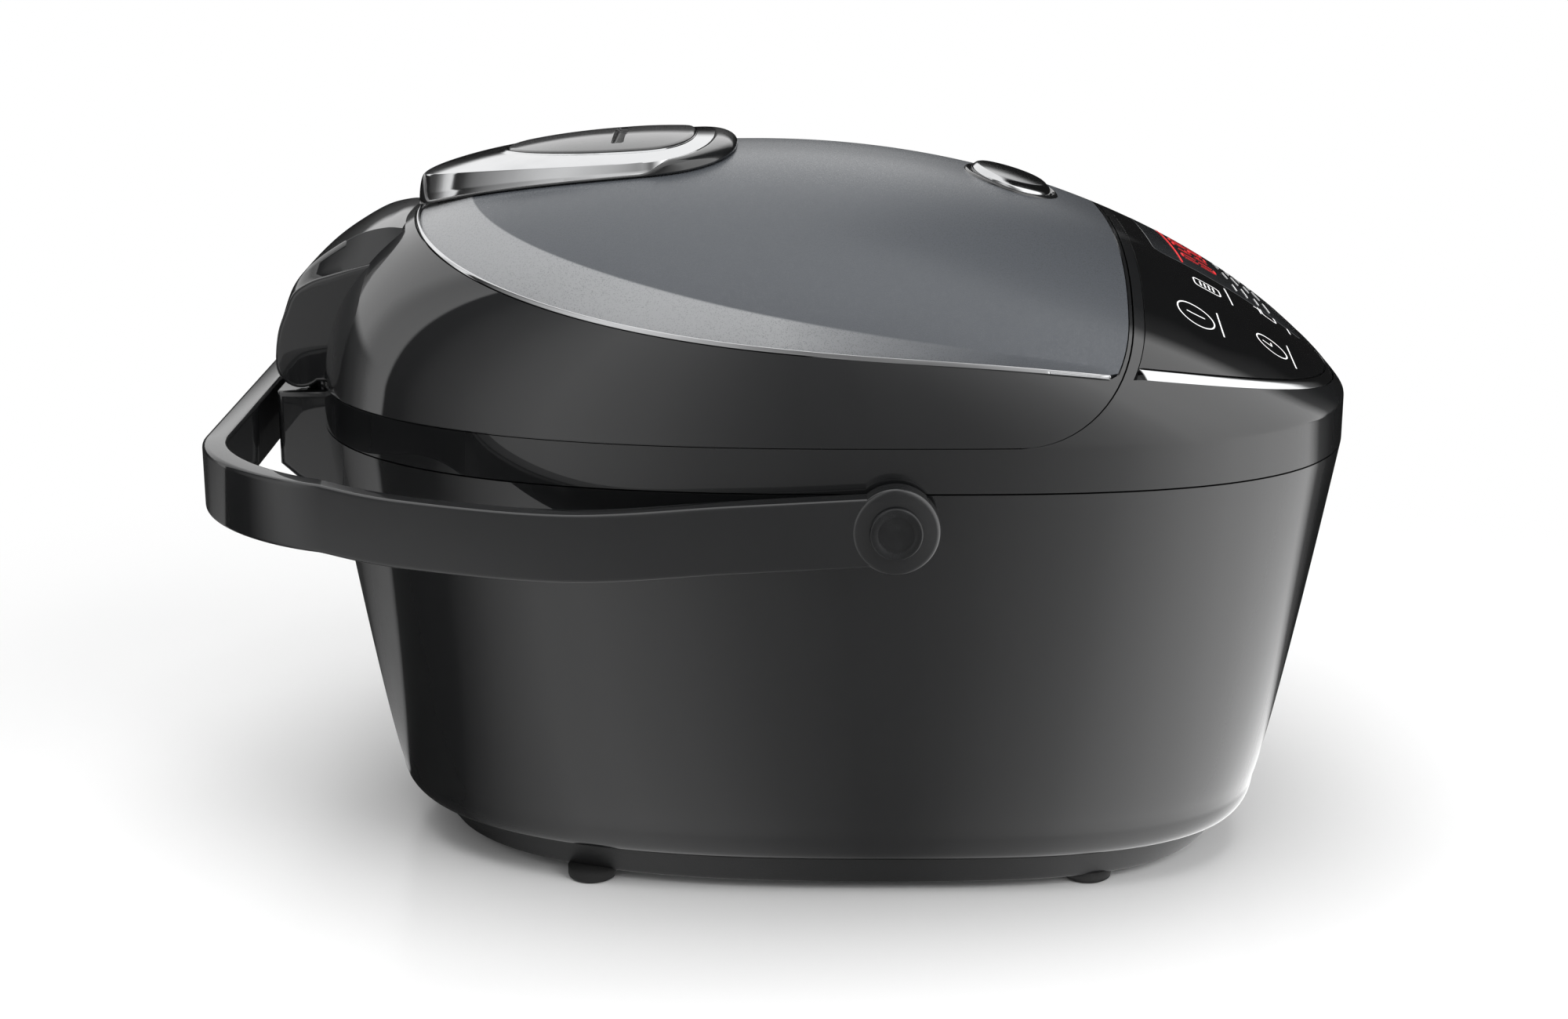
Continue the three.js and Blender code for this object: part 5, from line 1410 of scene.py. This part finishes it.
# The hood's middle line and its side edge from front to rear, then the rear that they share, as (Y, Z)
HOOD_CREST = ((0.1440, 0.2370), (0.1500, 0.2374), (0.1592, 0.2352), (0.1700, 0.2290), (0.1790, 0.2222),
              (0.1848, 0.2150), (0.1885, 0.2065))
HOOD_SIDE = ((0.1440, 0.2262), (0.1500, 0.2250), (0.1610, 0.2222), (0.1700, 0.2196), (0.1780, 0.2170),
             (0.1845, 0.2125), (0.1880, 0.2050))
HOOD_REAR = ((0.1903, 0.1990), (0.1914, 0.1935), (0.1919, 0.1890))
HOOD_FRONT_Y = HOOD_CREST[0][0]
HOOD_MIDDLE = Vector((HOOD_FRONT_Y + 0.028, 0.203))
HOOD_CHAMFER = 0.0080
HOOD_ROUND = 0.0018
HOOD_FLAT_SHARE = 0.12
KNUCKLE = 0.009
KNUCKLE_SPACE, KNUCKLE_HALF = 0.0098, 0.033
LUG_RADIUS, LUG_NEAR, LUG_FAR = 0.0065, 0.020, 0.028


def hood_under():
    """The hood's underside from the rear forwards: round the knuckle, then along the seam."""
    points = []
    for turn in quarter_turn(8):
        points.append(Vector((PIN_Y + (cover_high.y - PIN_Y) * math.cos(turn),
                              PIN_Z - KNUCKLE * math.sin(turn))))
    nose = math.acos((PIN_Z - SPLIT_Z - SEAM / 2) / KNUCKLE)
    for k in range(1, 6):
        turn = k / 5 * nose
        points.append(Vector((PIN_Y - KNUCKLE * math.sin(turn), PIN_Z - KNUCKLE * math.cos(turn))))
    return points + [Vector((HOOD_FRONT_Y + 0.012, SPLIT_Z + SEAM)), Vector((HOOD_FRONT_Y + 0.004, 0.208))]


def make_hood():
    crest_line, side_line = ([*smooth_through(knots + HOOD_REAR, 8), *hood_under()]
                             for knots in (HOOD_CREST, HOOD_SIDE))

    def hood_ring(x, inset, to_side):
        row = []
        for crest_place, side_place in zip(crest_line, side_line):
            place = crest_place.lerp(side_place, to_side)
            place = place + (HOOD_MIDDLE - place).normalized() * inset
            row.append(Vector((x, place.x, place.y)))
        return row

    half = cover_high.x
    flat = half - HOOD_CHAMFER
    stations = [(half, HOOD_ROUND * 2.4, 1.0), (half, HOOD_ROUND, 1.0)]
    for turn in quarter_turn(6, 1):
        stations.append((half - HOOD_ROUND * (1 - math.cos(turn)), HOOD_ROUND * (1 - math.sin(turn)), 1.0))
    stations += [(between(half - HOOD_ROUND, flat, k / 4), 0.0, between(1.0, HOOD_FLAT_SHARE, k / 4))
                 for k in range(1, 5)]
    stations += [(flat * (1 - k / 10), 0.0, HOOD_FLAT_SHARE * (1 - k / 10) ** 2) for k in range(1, 11)]
    rows = [[Vector((half, HOOD_MIDDLE.x, HOOD_MIDDLE.y))] * len(crest_line)]
    rows += [hood_ring(*station) for station in stations]
    rows += [[Vector((-p.x, p.y, p.z)) for p in row] for row in reversed(rows[:-1])]
    hood = new_piece("hinge_hood", bend_grid(rows), "lid", ["hinge_cover"], "black_gloss")
    space = rod(KNUCKLE_SPACE, (-KNUCKLE_HALF, PIN_Y, PIN_Z), (KNUCKLE_HALF, PIN_Y, PIN_Z), 64)
    behind = box_shape((-KNUCKLE_HALF, PIN_Y - KNUCKLE_SPACE, SPLIT_Z - 0.02),
                       (KNUCKLE_HALF, PIN_Y + 0.03, PIN_Z))
    carve(hood, space, behind)
    soften(hood)


def side_block(profile, half_width, round_by):
    """A side profile of (y, z) points pushed out along X, with its edges rounded."""
    bm = bmesh.new()
    face = bm.faces.new([bm.verts.new((-half_width, y, z)) for y, z in profile])
    pushed = bmesh.ops.extrude_face_region(bm, geom=[face])
    moved = [v for v in pushed["geom"] if isinstance(v, bmesh.types.BMVert)]
    bmesh.ops.translate(bm, vec=(2 * half_width, 0, 0), verts=moved)
    bmesh.ops.recalc_face_normals(bm, faces=bm.faces)
    sides = [e for e in bm.edges if abs(e.verts[0].co.x - e.verts[1].co.x) < MERGE]
    round_edges(bm, sides, round_by, 4)
    return bm


def make_bracket():
    """The lower cover behind the housing, with the two lugs that hold the pin."""
    top, foot_z = PIN_Z - 0.0095 - SEAM, bracket_low.z + 0.031
    bend_z = HOUSING_TOP - 0.015
    rear, foot_y = bracket_high.y, housing_high.y - 0.006
    outline = [(housing_high.y - 0.009, top), (rear, top), (rear, between(top, bend_z, 0.5)),
               (rear, bend_z), (between(rear, foot_y, 0.30), between(bend_z, foot_z, 0.42)),
               (between(rear, foot_y, 0.62), between(bend_z, foot_z, 0.74)), (foot_y, foot_z),
               (housing_high.y - 0.036, foot_z)]
    lugs = []
    for side in (-1, 1):
        near, far = side * LUG_NEAR, side * LUG_FAR
        lugs.append(rod(LUG_RADIUS, (near, PIN_Y, PIN_Z), (far, PIN_Y, PIN_Z), 64))
        lugs.append(box_shape((min(near, far), housing_high.y + 0.0015, top - 0.004),
                              (max(near, far), PIN_Y, PIN_Z)))
    bracket = new_piece("hinge_lower_cover", joined(side_block(outline, bracket_high.x, 0.0025), *lugs),
                        "base", ["hinge_bracket"], "black_gloss")
    soften(bracket)


def make_pin():
    ends = (pin_low.x, PIN_Y, PIN_Z), (pin_high.x, PIN_Y, PIN_Z)
    pin = new_piece("hinge_rod", rod((pin_high.z - pin_low.z) / 2, *ends), "lid", ["hinge_pin"],
                    "steel_part")
    soften(pin)


# Release button in its bezel

BUTTON_Y = (button_low.y + button_high.y) / 2
KEY_HALF_X = (button_high.x - button_low.x) / 2
KEY_HALF_Y = (button_high.y - button_low.y) / 2
OVAL_TURNS = 160
BEZEL_GAP = 0.0005
BEZEL_SINK = 0.0012
BEZEL_FLOOR = 0.002
BEZEL_STEPS, BEZEL_ARCH = 8, 0.0010
KEY_UNDER, KEY_EDGE, KEY_BEVEL, KEY_DOME = -0.0014, 0.0018, 0.0012, 0.0006
KEY_FACE_SHARE, KEY_BEVEL_SHARE = 0.97, 0.10
KEY_STEPS = 24


def oval_rows(levels):
    """Rings of an oval on the crown; each level is (half length in X, in Y, lift, crown's share)."""
    flat_z = crown(0, BUTTON_Y)
    rows = []
    for half_x, half_y, lift, follow in levels:
        row = []
        for angle in angles_round(OVAL_TURNS):
            x, y = half_x * math.cos(angle), BUTTON_Y + half_y * math.sin(angle)
            row.append(Vector((x, y, between(flat_z, crown(x, y), follow) + lift)))
        rows.append(row)
    return rows


def make_bezel():
    wall = (bezel_high.x - bezel_low.x) / 2 - KEY_HALF_X
    floor = bezel_low.z - crown(0, BUTTON_Y)
    outer_x, outer_y = KEY_HALF_X + wall, KEY_HALF_Y + wall
    inner_x, inner_y = KEY_HALF_X + BEZEL_GAP, KEY_HALF_Y + BEZEL_GAP
    levels = [(0, 0, floor, 0), (outer_x, outer_y, floor, 0), (outer_x, outer_y, -BEZEL_SINK, 1)]
    for k in range(BEZEL_STEPS + 1):
        share = k / BEZEL_STEPS
        inset = (wall - BEZEL_GAP) * share
        lift = BEZEL_ARCH * math.sin(math.pi * min(1, share * 1.15)) - 0.0002
        levels.append((outer_x - inset, outer_y - inset, lift, 1))
    levels += [(inner_x, inner_y, -BEZEL_SINK, 1), (inner_x, inner_y, floor + BEZEL_FLOOR, 0),
               (0, 0, floor + BEZEL_FLOOR, 0)]
    bezel = new_piece("button_surround", bend_grid(oval_rows(levels)), "lid", ["button_bezel"],
                      "black_gloss")
    soften(bezel)


def make_key():
    """The button's key: a bevelled oval with a slightly domed face."""
    levels = [(0, 0, KEY_UNDER), (KEY_HALF_X * 0.6, KEY_HALF_Y * 0.6, KEY_UNDER),
              (KEY_HALF_X, KEY_HALF_Y, KEY_UNDER), (KEY_HALF_X, KEY_HALF_Y, 0.0010),
              (KEY_HALF_X * 0.99, KEY_HALF_Y * 0.985, 0.0015)]
    for k in range(KEY_STEPS + 1):
        share = KEY_FACE_SHARE * (1 - k / KEY_STEPS)
        bevelled = min(1.0, (KEY_FACE_SHARE - share) / KEY_BEVEL_SHARE)
        lift = KEY_EDGE + KEY_BEVEL * bevelled + KEY_DOME * (1 - share ** 2)
        levels.append((KEY_HALF_X * share, KEY_HALF_Y * share, lift))
    rows = oval_rows([(*level, 1) for level in levels])
    new_piece("release_key", bend_grid(rows), "button", ["release_button"], "bright_trim")


# Steam valve: bright plate, dark skirt with its stem, dark cap with a steam slot, and its seal

VALVE_WIDE_Y = valve_low.y + 0.034
VALVE_CORE = Vector((0, VALVE_WIDE_Y + 0.016))
VALVE_HALF = 0.0495
VALVE_POWERS = (2.7, 2.0)
VALVE_TURNS = 240
VALVE_LIFT = 0.0065
VALVE_LIFT_LENGTH = 0.084
VALVE_FOOT = 0.0010
VALVE_EDGE = 0.0048
VALVE_DOME = 0.0010
HAIR = 0.0001
FACET_STARTS, FACET_ENDS = (0.044, 0.056), (0.134, 0.140)
FACET_HIDDEN = 0.0006
FACET_ROWS = ((0.25, 0.0), (0.0, 0.0), (0.05, 0.08), (0.32, 0.24), (0.40, 0.32), (0.9, 0.92))
PLATE_ROOM = 0.0034
CAP_HALF, CAP_FACE_SHARE = 0.034, 0.975
CAP_SUNK, CAP_EDGE, CAP_DOME = 0.002, 0.0008, 0.0008
CAP_STEPS = 24
STEM_Y = WIDE_Y + 0.112
STEM_BORE, STEM_RADIUS = 0.008, 0.012
SLOT_Y = (cap_low.y + cap_high.y) / 2 - 0.007
SLOT_HALF_X, SLOT_HALF_Y, SLOT_DEPTH = 0.024, 0.0023, 0.0012


def valve_outline(half_x, front_y, rear_y):
    """An egg in plan, widest near its front end."""
    return [Vector(egg_point(angle, half_x, VALVE_WIDE_Y - front_y, rear_y - VALVE_WIDE_Y, VALVE_POWERS,
                             VALVE_WIDE_Y)) for angle in angles_round(VALVE_TURNS)]


def valve_lift(y):
    return VALVE_LIFT * max(0.0, 1 - (valve_high.y - y) / VALVE_LIFT_LENGTH) ** 2


def plate_rise(x, y):
    """Height of the plate's upper face over the crown."""
    centre_y = (valve_low.y + valve_high.y) / 2
    share = min(1.0, math.hypot(x / VALVE_HALF, (y - centre_y) / (valve_high.y - centre_y)))
    return VALVE_EDGE + valve_lift(y) + VALVE_DOME * (1 - share ** 2)


def over_crown(points, rise):
    """A ring of plan points at one height over the crown."""
    return [Vector((p.x, p.y, crown(p.x, p.y) + rise)) for p in points]


def over_plate(points, lift=0.0):
    """A ring of plan points on the plate's upper face, or at one height over it."""
    return [Vector((p.x, p.y, crown(p.x, p.y) + plate_rise(p.x, p.y))) + Vector((0, 0, lift))
            for p in points]


def inwards(points, share):
    return [VALVE_CORE + (p - VALVE_CORE) * share for p in points]


valve_outer = valve_outline(VALVE_HALF, valve_low.y - 0.003, valve_high.y)
valve_wide = valve_outline(VALVE_HALF - 0.0007, valve_low.y - 0.0022, valve_high.y - 0.0006)
valve_edge = valve_outline(VALVE_HALF - 0.0033, valve_low.y + 0.0055, valve_high.y - 0.0025)
cap_edge = valve_outline(CAP_HALF, cap_low.y + 0.0005, cap_high.y)
facet_shown = [eased(place.y, *FACET_STARTS) * (1 - eased(place.y, *FACET_ENDS)) for place in valve_edge]
facet_foot = [edge.lerp(wide, shown) for edge, wide, shown in zip(valve_edge, valve_wide, facet_shown)]


def make_valve_plate():
    def facet_row(inset, height):
        """A row of the side facet, which runs out where the black skirt wraps the ends."""
        row = []
        for edge, foot, shown in zip(valve_edge, facet_foot, facet_shown):
            place = foot.lerp(edge, inset * shown)
            rise = plate_rise(edge.x, edge.y)
            low = crown(place.x, place.y) + between(rise - FACET_HIDDEN, VALVE_FOOT, shown)
            high = crown(edge.x, edge.y) + rise
            row.append(Vector((place.x, place.y, between(low, high, height))))
        return row

    def face_row(share, lift=0.0):
        """A row of the upper face, a share of the way from its edge to the cap."""
        return over_plate([edge.lerp(cap, share) for edge, cap in zip(valve_edge, cap_edge)], lift)

    rows = [face_row(0.97, -PLATE_ROOM), face_row(0.06, -0.0020)]
    rows += [facet_row(inset, height) for inset, height in FACET_ROWS]
    rows += [face_row(share) for share in (0.0, 0.03, 0.08)]
    rows += [face_row(between(0.08, 0.94, k / 16)) for k in range(1, 17)]
    rows += [face_row(0.97, 0.0003), face_row(1.0, 0.0003), face_row(1.0, -PLATE_ROOM)]
    plate = new_piece("valve_trim_plate", bend_grid(rows + rows[:1]), "steam_valve", ["valve_plate"],
                      "bright_trim")
    soften(plate)


def make_valve_skirt():
    """The dark skirt, which wraps over the plate's ends, and the stem through the lid."""
    wrap_top = []
    for edge, outer, shown in zip(valve_edge, valve_outer, facet_shown):
        place = edge.lerp(outer.lerp(Vector((0, VALVE_WIDE_Y)), 0.035), shown)
        low = crown(place.x, place.y) + VALVE_FOOT + HAIR
        high = crown(edge.x, edge.y) + plate_rise(edge.x, edge.y) - HAIR
        wrap_top.append(Vector((place.x, place.y, between(high, low, shown))))
    under = VALVE_FOOT - 2 * HAIR
    brim = over_crown(valve_outer, under)
    rows = [over_crown(inwards(valve_outer, share), 4 * HAIR)
            for share in (0.0, 0.3, 0.6, 0.85, 0.97, 0.993)]
    rows.append(brim)
    for turn in quarter_turn(10, 1):
        inward, upward = 1 - math.cos(turn), math.sin(turn)
        rows.append([Vector((between(low.x, high.x, inward), between(low.y, high.y, inward),
                             between(low.z, high.z, upward))) for low, high in zip(brim, wrap_top)])
    rows += [over_crown(inwards(valve_edge, share), under) for share in (0.975, 0.8, 0.4, 0.0)]
    low, top = valve_low.z, crown(0, STEM_Y)
    stem = spun([(STEM_BORE, low), (STEM_RADIUS - 0.0005, low), (STEM_RADIUS, low + 0.0006),
                 (STEM_RADIUS, top), (STEM_BORE, top)], Vector((0, STEM_Y, 0)))
    new_piece("valve_skirt", joined(bend_grid(rows), stem), "steam_valve", ["valve_base"], "black_gloss")


def make_valve_cap():
    def cap_row(share, lift):
        return over_plate(inwards(cap_edge, share), lift)

    rows = [cap_row(share, -CAP_SUNK) for share in (0.0, 0.7, 0.99)]
    rows += [cap_row(0.99, CAP_EDGE / 2), cap_row(CAP_FACE_SHARE, CAP_EDGE)]
    for k in range(1, CAP_STEPS + 1):
        share = 1 - k / CAP_STEPS
        rows.append(cap_row(CAP_FACE_SHARE * share, CAP_EDGE + CAP_DOME * (1 - share ** 2)))
    cap = new_piece("valve_dome", bend_grid(rows), "steam_valve", ["valve_cap"], "black_gloss")
    slot_z = crown(0, SLOT_Y) + plate_rise(0, SLOT_Y)
    carve(cap, box_shape((-SLOT_HALF_X, SLOT_Y - SLOT_HALF_Y, slot_z - SLOT_DEPTH),
                         (SLOT_HALF_X, SLOT_Y + SLOT_HALF_Y, slot_z + 0.01), SLOT_DEPTH, 4))
    soften(cap)


def make_valve_seal():
    low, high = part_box("valve_seal")
    centre = Vector((0, (low.y + high.y) / 2, 0))
    outer, inner, waist = high.x, high.x - 0.0035, high.x - 0.0008
    lip = (high.z - low.z) / 3
    profile = [(inner, low.z), (waist, low.z), (outer, low.z + lip * 0.5), (waist, low.z + lip),
               (waist, low.z + 2 * lip), (outer, low.z + 2.5 * lip), (waist, high.z), (inner, high.z)]
    new_piece("valve_ring_seal", spun(profile, centre), "steam_valve", ["valve_seal"], "silicone")


# Inside: the pot, and the underside of the lid

POT_MIDDLE = Vector((0, POT_Y, 0))
POT_TURNS = 160
POT_WALL = 0.0024
POT_MOUTH, POT_WAIST, POT_BASE = POT_RADIUS - 0.0085, POT_RADIUS - 0.0235, POT_RADIUS - 0.0615
POT_FLOOR = POT_BASE - 0.006
POT_WAIST_Z = pot_low.z + 0.042
LIP_THICK, LIP_ROUND = 0.002, 0.0008
LINING_MOUTH, LINING_THICK, LINING_INSET = 0.104, 0.0035, 0.0063
SEAL_WIDTH, SEAL_DISH = 0.0095, 0.0007
PLATE_THICK, PLATE_DISH, PLATE_ROUND = 0.0014, 0.0056, 0.0006
PLATE_HOLE = 0.0125


def make_pot():
    low, high = pot_low.z, pot_high.z
    outer = [(0, low), (POT_FLOOR, low)]
    for turn in quarter_turn(16, 1):
        outer.append((POT_FLOOR + (POT_WAIST - POT_FLOOR) * math.sin(turn),
                      low + (POT_WAIST_Z - low) * (1 - math.cos(turn))))
    outer.append((between(POT_WAIST, POT_MOUTH, 0.5), between(POT_WAIST_Z, high - LIP_THICK, 0.5)))
    lip = [(POT_MOUTH, high - LIP_THICK), (POT_RADIUS - LIP_ROUND, high - LIP_THICK),
           (POT_RADIUS, high - LIP_THICK / 2), (POT_RADIUS - LIP_ROUND, high)]
    inner = [(POT_MOUTH - POT_WALL / 2, high), (POT_MOUTH - POT_WALL, high - POT_WALL / 2)]
    inner += [(max(0.0, radius - POT_WALL), z + (POT_WALL if radius < POT_BASE else POT_WALL / 2))
              for radius, z in reversed(outer[1:])]
    inner.append((0, low + POT_WALL))
    new_piece("cooking_pot", spun(outer + lip + inner, POT_MIDDLE, POT_TURNS), "base", ["inner_pot"],
              "pot_coating")


def make_lid_lining():
    """The inner frame: a flat ring with a groove over the lid's seal."""
    low, high = lining_low.z, lining_low.z + LINING_THICK
    seal_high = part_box("lid_seal")[1]
    groove_in, groove_out = seal_high.x - SEAL_WIDTH - FIT, seal_high.x + FIT
    groove_top = seal_high.z + FIT
    edge = all_round(lambda angle: reach(lambda x, y: in_lid(x, y, low), angle) - LINING_INSET)
    rows = [flat_ring([LINING_MOUTH] * TURNS, low), flat_ring([LINING_MOUTH] * TURNS, high),
            flat_ring(edge, high), flat_ring(edge, low)]
    for radius, z in ((groove_out, low), (groove_out, groove_top), (groove_in, groove_top),
                      (groove_in, low), (LINING_MOUTH, low)):
        rows.append(flat_ring([min(radius, limit - 0.0002) for limit in edge], z))
    lining = new_piece("lid_lining", bend_grid(rows), "lid", ["lid_inner_frame"], "inner_frame")
    soften(lining)


def make_lid_seal():
    seal_low, seal_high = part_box("lid_seal")
    low, high = seal_low.z, seal_high.z
    inner, outer = seal_high.x - SEAL_WIDTH, seal_high.x
    profile = [(inner, low), (inner + 0.001, low), (inner + 0.003, low + SEAL_DISH),
               (outer - 0.003, low + SEAL_DISH), (outer - 0.001, low), (outer, low + 0.0004),
               (outer, high), (inner, high)]
    new_piece("lid_gasket", spun(profile, POT_MIDDLE, POT_TURNS), "lid", ["lid_seal"], "silicone")


def make_lid_plate():
    plate_low, plate_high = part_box("inner_lid_plate")
    radius, low = plate_high.x, plate_low.z
    top, dish = low + PLATE_THICK, low + PLATE_DISH
    profile = [(0, dish), (radius - 0.019, dish), (radius - 0.016, dish - 0.0008),
               (radius - 0.011, low + 0.0012), (radius - 0.008, low), (radius - PLATE_ROUND, low),
               (radius, low + 0.0007), (radius - PLATE_ROUND, top), (radius - 0.009, top),
               (radius - 0.0172, top + PLATE_DISH), (0, top + PLATE_DISH)]
    plate = new_piece("lid_plate", spun(profile, POT_MIDDLE, POT_TURNS), "lid", ["inner_lid_plate"],
                      "bare_aluminium")
    carve(plate, rod(PLATE_HOLE, (0, STEM_Y, low - 0.01), (0, STEM_Y, low + 0.02), 64))


# The camera, the floor, the lamps and the cards that shape the reflections

CAMERA_TARGET = (0, 0.0035, 0.1179)
CAMERA_ELEVATION = math.radians(15.71)
CAMERA_DISTANCE = 1.0
CAMERA_LENS = 58.2
SENSOR_WIDTH = 36
FLOOR_RADIUS = 6
REAL_FLOOR, WHITE_FLOOR = 0.26, 0.58
AMBIENT = 0.55
LAMP_POWER = 30
LAMP_TARGET = (0, 0, 0.12)
CARD_STRENGTH = 1.6
CARD_RADIUS, CARD_TOP, CARD_TOP_SHARE = 1.5, 2.8, 0.55
CARD_FOOT, CARD_OVER_FLOOR = 0.002, 0.0015
OPEN_TOP = (2.5, 2.75)
OPEN_BACK = (0.44, 0.56)

# Brightness by direction, in degrees: 0 is the camera's side and 90 the hinge's
SURROUND_LEVELS = (
    (-180, 0.01), (-132, 0.01), (-119, 0.12), (-110, 1.40), (-60, 1.45), (-45, 1.34), (-39, 1.08),
    (-33, 0.90), (-27, 0.70), (-21, 0.56), (-15, 0.42), (-9, 0.27), (-3, 0.19), (3, 0.19), (9, 0.27),
    (21, 0.52), (33, 0.68), (39, 0.72), (51, 0.55), (63, 0.32), (75, 0.17), (82, 0.05), (90, 0.01),
    (91.5, 0.95), (99, 0.70), (105, 0.29), (112, 0.10), (122, 0.02), (180, 0.01))
FLOOR_LEVELS = (
    (-180, 0.01), (-120, 0.01), (-108, 0.08), (-98, 1.38), (-72, 1.60), (-57, 1.52), (-45, 1.25),
    (-33, 0.86), (-27, 0.64), (-21, 0.50), (-9, 0.28), (-3, 0.21), (3, 0.20), (15, 0.30), (27, 0.47),
    (39, 0.60), (48, 0.58), (57, 0.35), (63, 0.17), (69, 0.04), (90, 0.01), (92, 0.45), (103, 0.25),
    (120, 0.04), (180, 0.01))
BACK_WINDOW = ((-180, 1.0), (-172, 1.0), (-158, 0.0), (95, 0.0), (112, 1.0), (180, 1.0))


def make_camera():
    scene = bpy.context.scene
    camera = bpy.data.objects.new("camera", bpy.data.cameras.new("camera"))
    scene.collection.objects.link(camera)
    away = Vector((-math.cos(CAMERA_ELEVATION), 0, math.sin(CAMERA_ELEVATION)))
    camera.location = Vector(CAMERA_TARGET) + CAMERA_DISTANCE * away
    camera.rotation_euler = (-away).to_track_quat("-Z", "Y").to_euler()
    camera.data.lens = CAMERA_LENS
    camera.data.sensor_width = SENSOR_WIDTH
    camera.data.clip_start = 0.01
    scene.camera = camera


def staged(name, bm, material):
    item = as_object(name, bm)
    item.data.materials.append(material)
    return item


def make_floor():
    """Pale satin floor that turns into a plain white background away from the cooker."""
    finish = Finish("studio_floor", IOR=1.22)
    finish.feed("Base Color", finish.mix(finish.noise(3), grey(0.88), grey(0.91)))
    finish.feed("Roughness", 0.16 + finish.noise(8) * 0.04)
    far = finish.fade(finish.away((0, 0, 0)), REAL_FLOOR, WHITE_FLOOR)
    white = finish.node("ShaderNodeEmission", None, {"Color": grey(1.0), "Strength": 1.0})
    finish.show(far * finish.seen_directly(), Value(finish, finish.shader.outputs[0]), white)
    bm = bmesh.new()
    bmesh.ops.create_circle(bm, cap_ends=True, segments=96, radius=FLOOR_RADIUS)
    staged("floor", bm, finish.material)


def by_direction(finish, stops, strength=1.0, centre_y=0.0):
    """A grey level by the direction round the cooker."""
    turn = finish.node("ShaderNodeMath", {"operation": "ARCTAN2"},
                       {0: finish.part("Y") - centre_y, 1: 0 - finish.part("X")})
    levels = [((degrees + 180) / 360, grey(level / strength)) for degrees, level in stops]
    return finish.node("ShaderNodeValToRGB", {"stops": levels}, {"Fac": turn * (0.5 / math.pi) + 0.5})


def glow(finish, level, share):
    """Makes a card shine, and clear where its share is nothing."""
    shine = finish.node("ShaderNodeEmission", None, {"Color": level, "Strength": CARD_STRENGTH})
    finish.show(share, finish.node("ShaderNodeBsdfTransparent"), shine)


def only_in_reflections(card):
    card.visible_camera = False
    card.visible_diffuse = False
    card.visible_transmission = False
    card.visible_shadow = False


def make_surround_card():
    """Dark and grey cards round the cooker, open overhead and behind."""
    finish = Finish("surround_grey")
    height = finish.part("Z")
    overhead = finish.fade(height, *OPEN_TOP)
    behind = by_direction(finish, BACK_WINDOW) * finish.fade(height, *OPEN_BACK)
    level = by_direction(finish, SURROUND_LEVELS, CARD_STRENGTH)
    glow(finish, level, (1 - overhead) * (1 - behind))
    bm = bmesh.new()
    line = [bm.verts.new((radius, 0, z)) for radius, z in (
        (CARD_RADIUS, CARD_FOOT), (CARD_RADIUS, CARD_TOP / 2), (CARD_RADIUS * CARD_TOP_SHARE, CARD_TOP))]
    edges = [bm.edges.new(pair) for pair in zip(line, line[1:])]
    bmesh.ops.spin(bm, geom=line + edges, cent=(0, 0, 0), axis=(0, 0, 1), angle=2 * math.pi, steps=72,
                   use_merge=True)
    only_in_reflections(staged("surround", bm, finish.material))


def make_floor_card():
    """A graded card over the floor, seen only from above."""
    finish = Finish("floor_dark")
    behind = finish.node("ShaderNodeNewGeometry", output="Backfacing")
    glow(finish, by_direction(finish, FLOOR_LEVELS, CARD_STRENGTH, WIDE_Y), 1 - behind)
    bm = bmesh.new()
    bmesh.ops.create_circle(bm, cap_ends=True, segments=96, radius=CARD_RADIUS)
    bmesh.ops.translate(bm, vec=(0, 0, CARD_OVER_FLOOR), verts=bm.verts)
    only_in_reflections(staged("dark_card", bm, finish.material))


def lamp(name, place, size_x, size_y):
    """A soft lamp that lights the cooker and isn't seen in its gloss."""
    light = bpy.data.lights.new(name, "AREA")
    light.shape = "RECTANGLE"
    light.size, light.size_y = size_x, size_y
    light.energy = LAMP_POWER
    holder = bpy.data.objects.new(name, light)
    bpy.context.scene.collection.objects.link(holder)
    holder.location = place
    aim = Vector(LAMP_TARGET) - Vector(place)
    holder.rotation_euler = aim.to_track_quat("-Z", "Y").to_euler()
    holder.visible_glossy = False


def make_world():
    """White where it is seen, and dimmer as a light."""
    world = bpy.data.worlds.new("studio")
    world.use_nodes = True
    nodes = Nodes(world.node_tree)
    level = nodes.node("ShaderNodeMapRange", None,
                       {"Value": nodes.seen_directly(), "To Min": AMBIENT, "To Max": 1.0})
    background = world.node_tree.nodes["Background"]
    nodes.link(background.inputs["Color"], grey(1.0))
    nodes.link(background.inputs["Strength"], level)
    bpy.context.scene.world = world


def make_studio():
    bpy.context.scene.view_settings.view_transform = "Standard"
    make_camera()
    make_floor()
    make_world()
    lamp("top_softbox", (-0.15, 0.1, 1.9), 1.5, 1.9)
    lamp("front_softbox", (-1.3, -1.7, 1.5), 1.6, 1.2)
    make_surround_card()
    make_floor_card()


make_housing()
make_collar()
make_cover()
make_panel_strip()
make_window()
make_key_marks()
make_display_marks()
make_lid_shell()
make_insert()
make_lid_trim()
make_base()
make_feet()
make_inlet()
make_handle()
make_pivots()
make_hood()
make_bracket()
make_pin()
make_bezel()
make_key()
make_valve_plate()
make_valve_skirt()
make_valve_cap()
make_valve_seal()
make_pot()
make_lid_lining()
make_lid_seal()
make_lid_plate()

for row in frame["record"]["subparts"]:
    for holder in frame["nodes"][row["node"]].material_slots:
        holder.material = FINISHES[row["material_slot"]].material

make_studio()
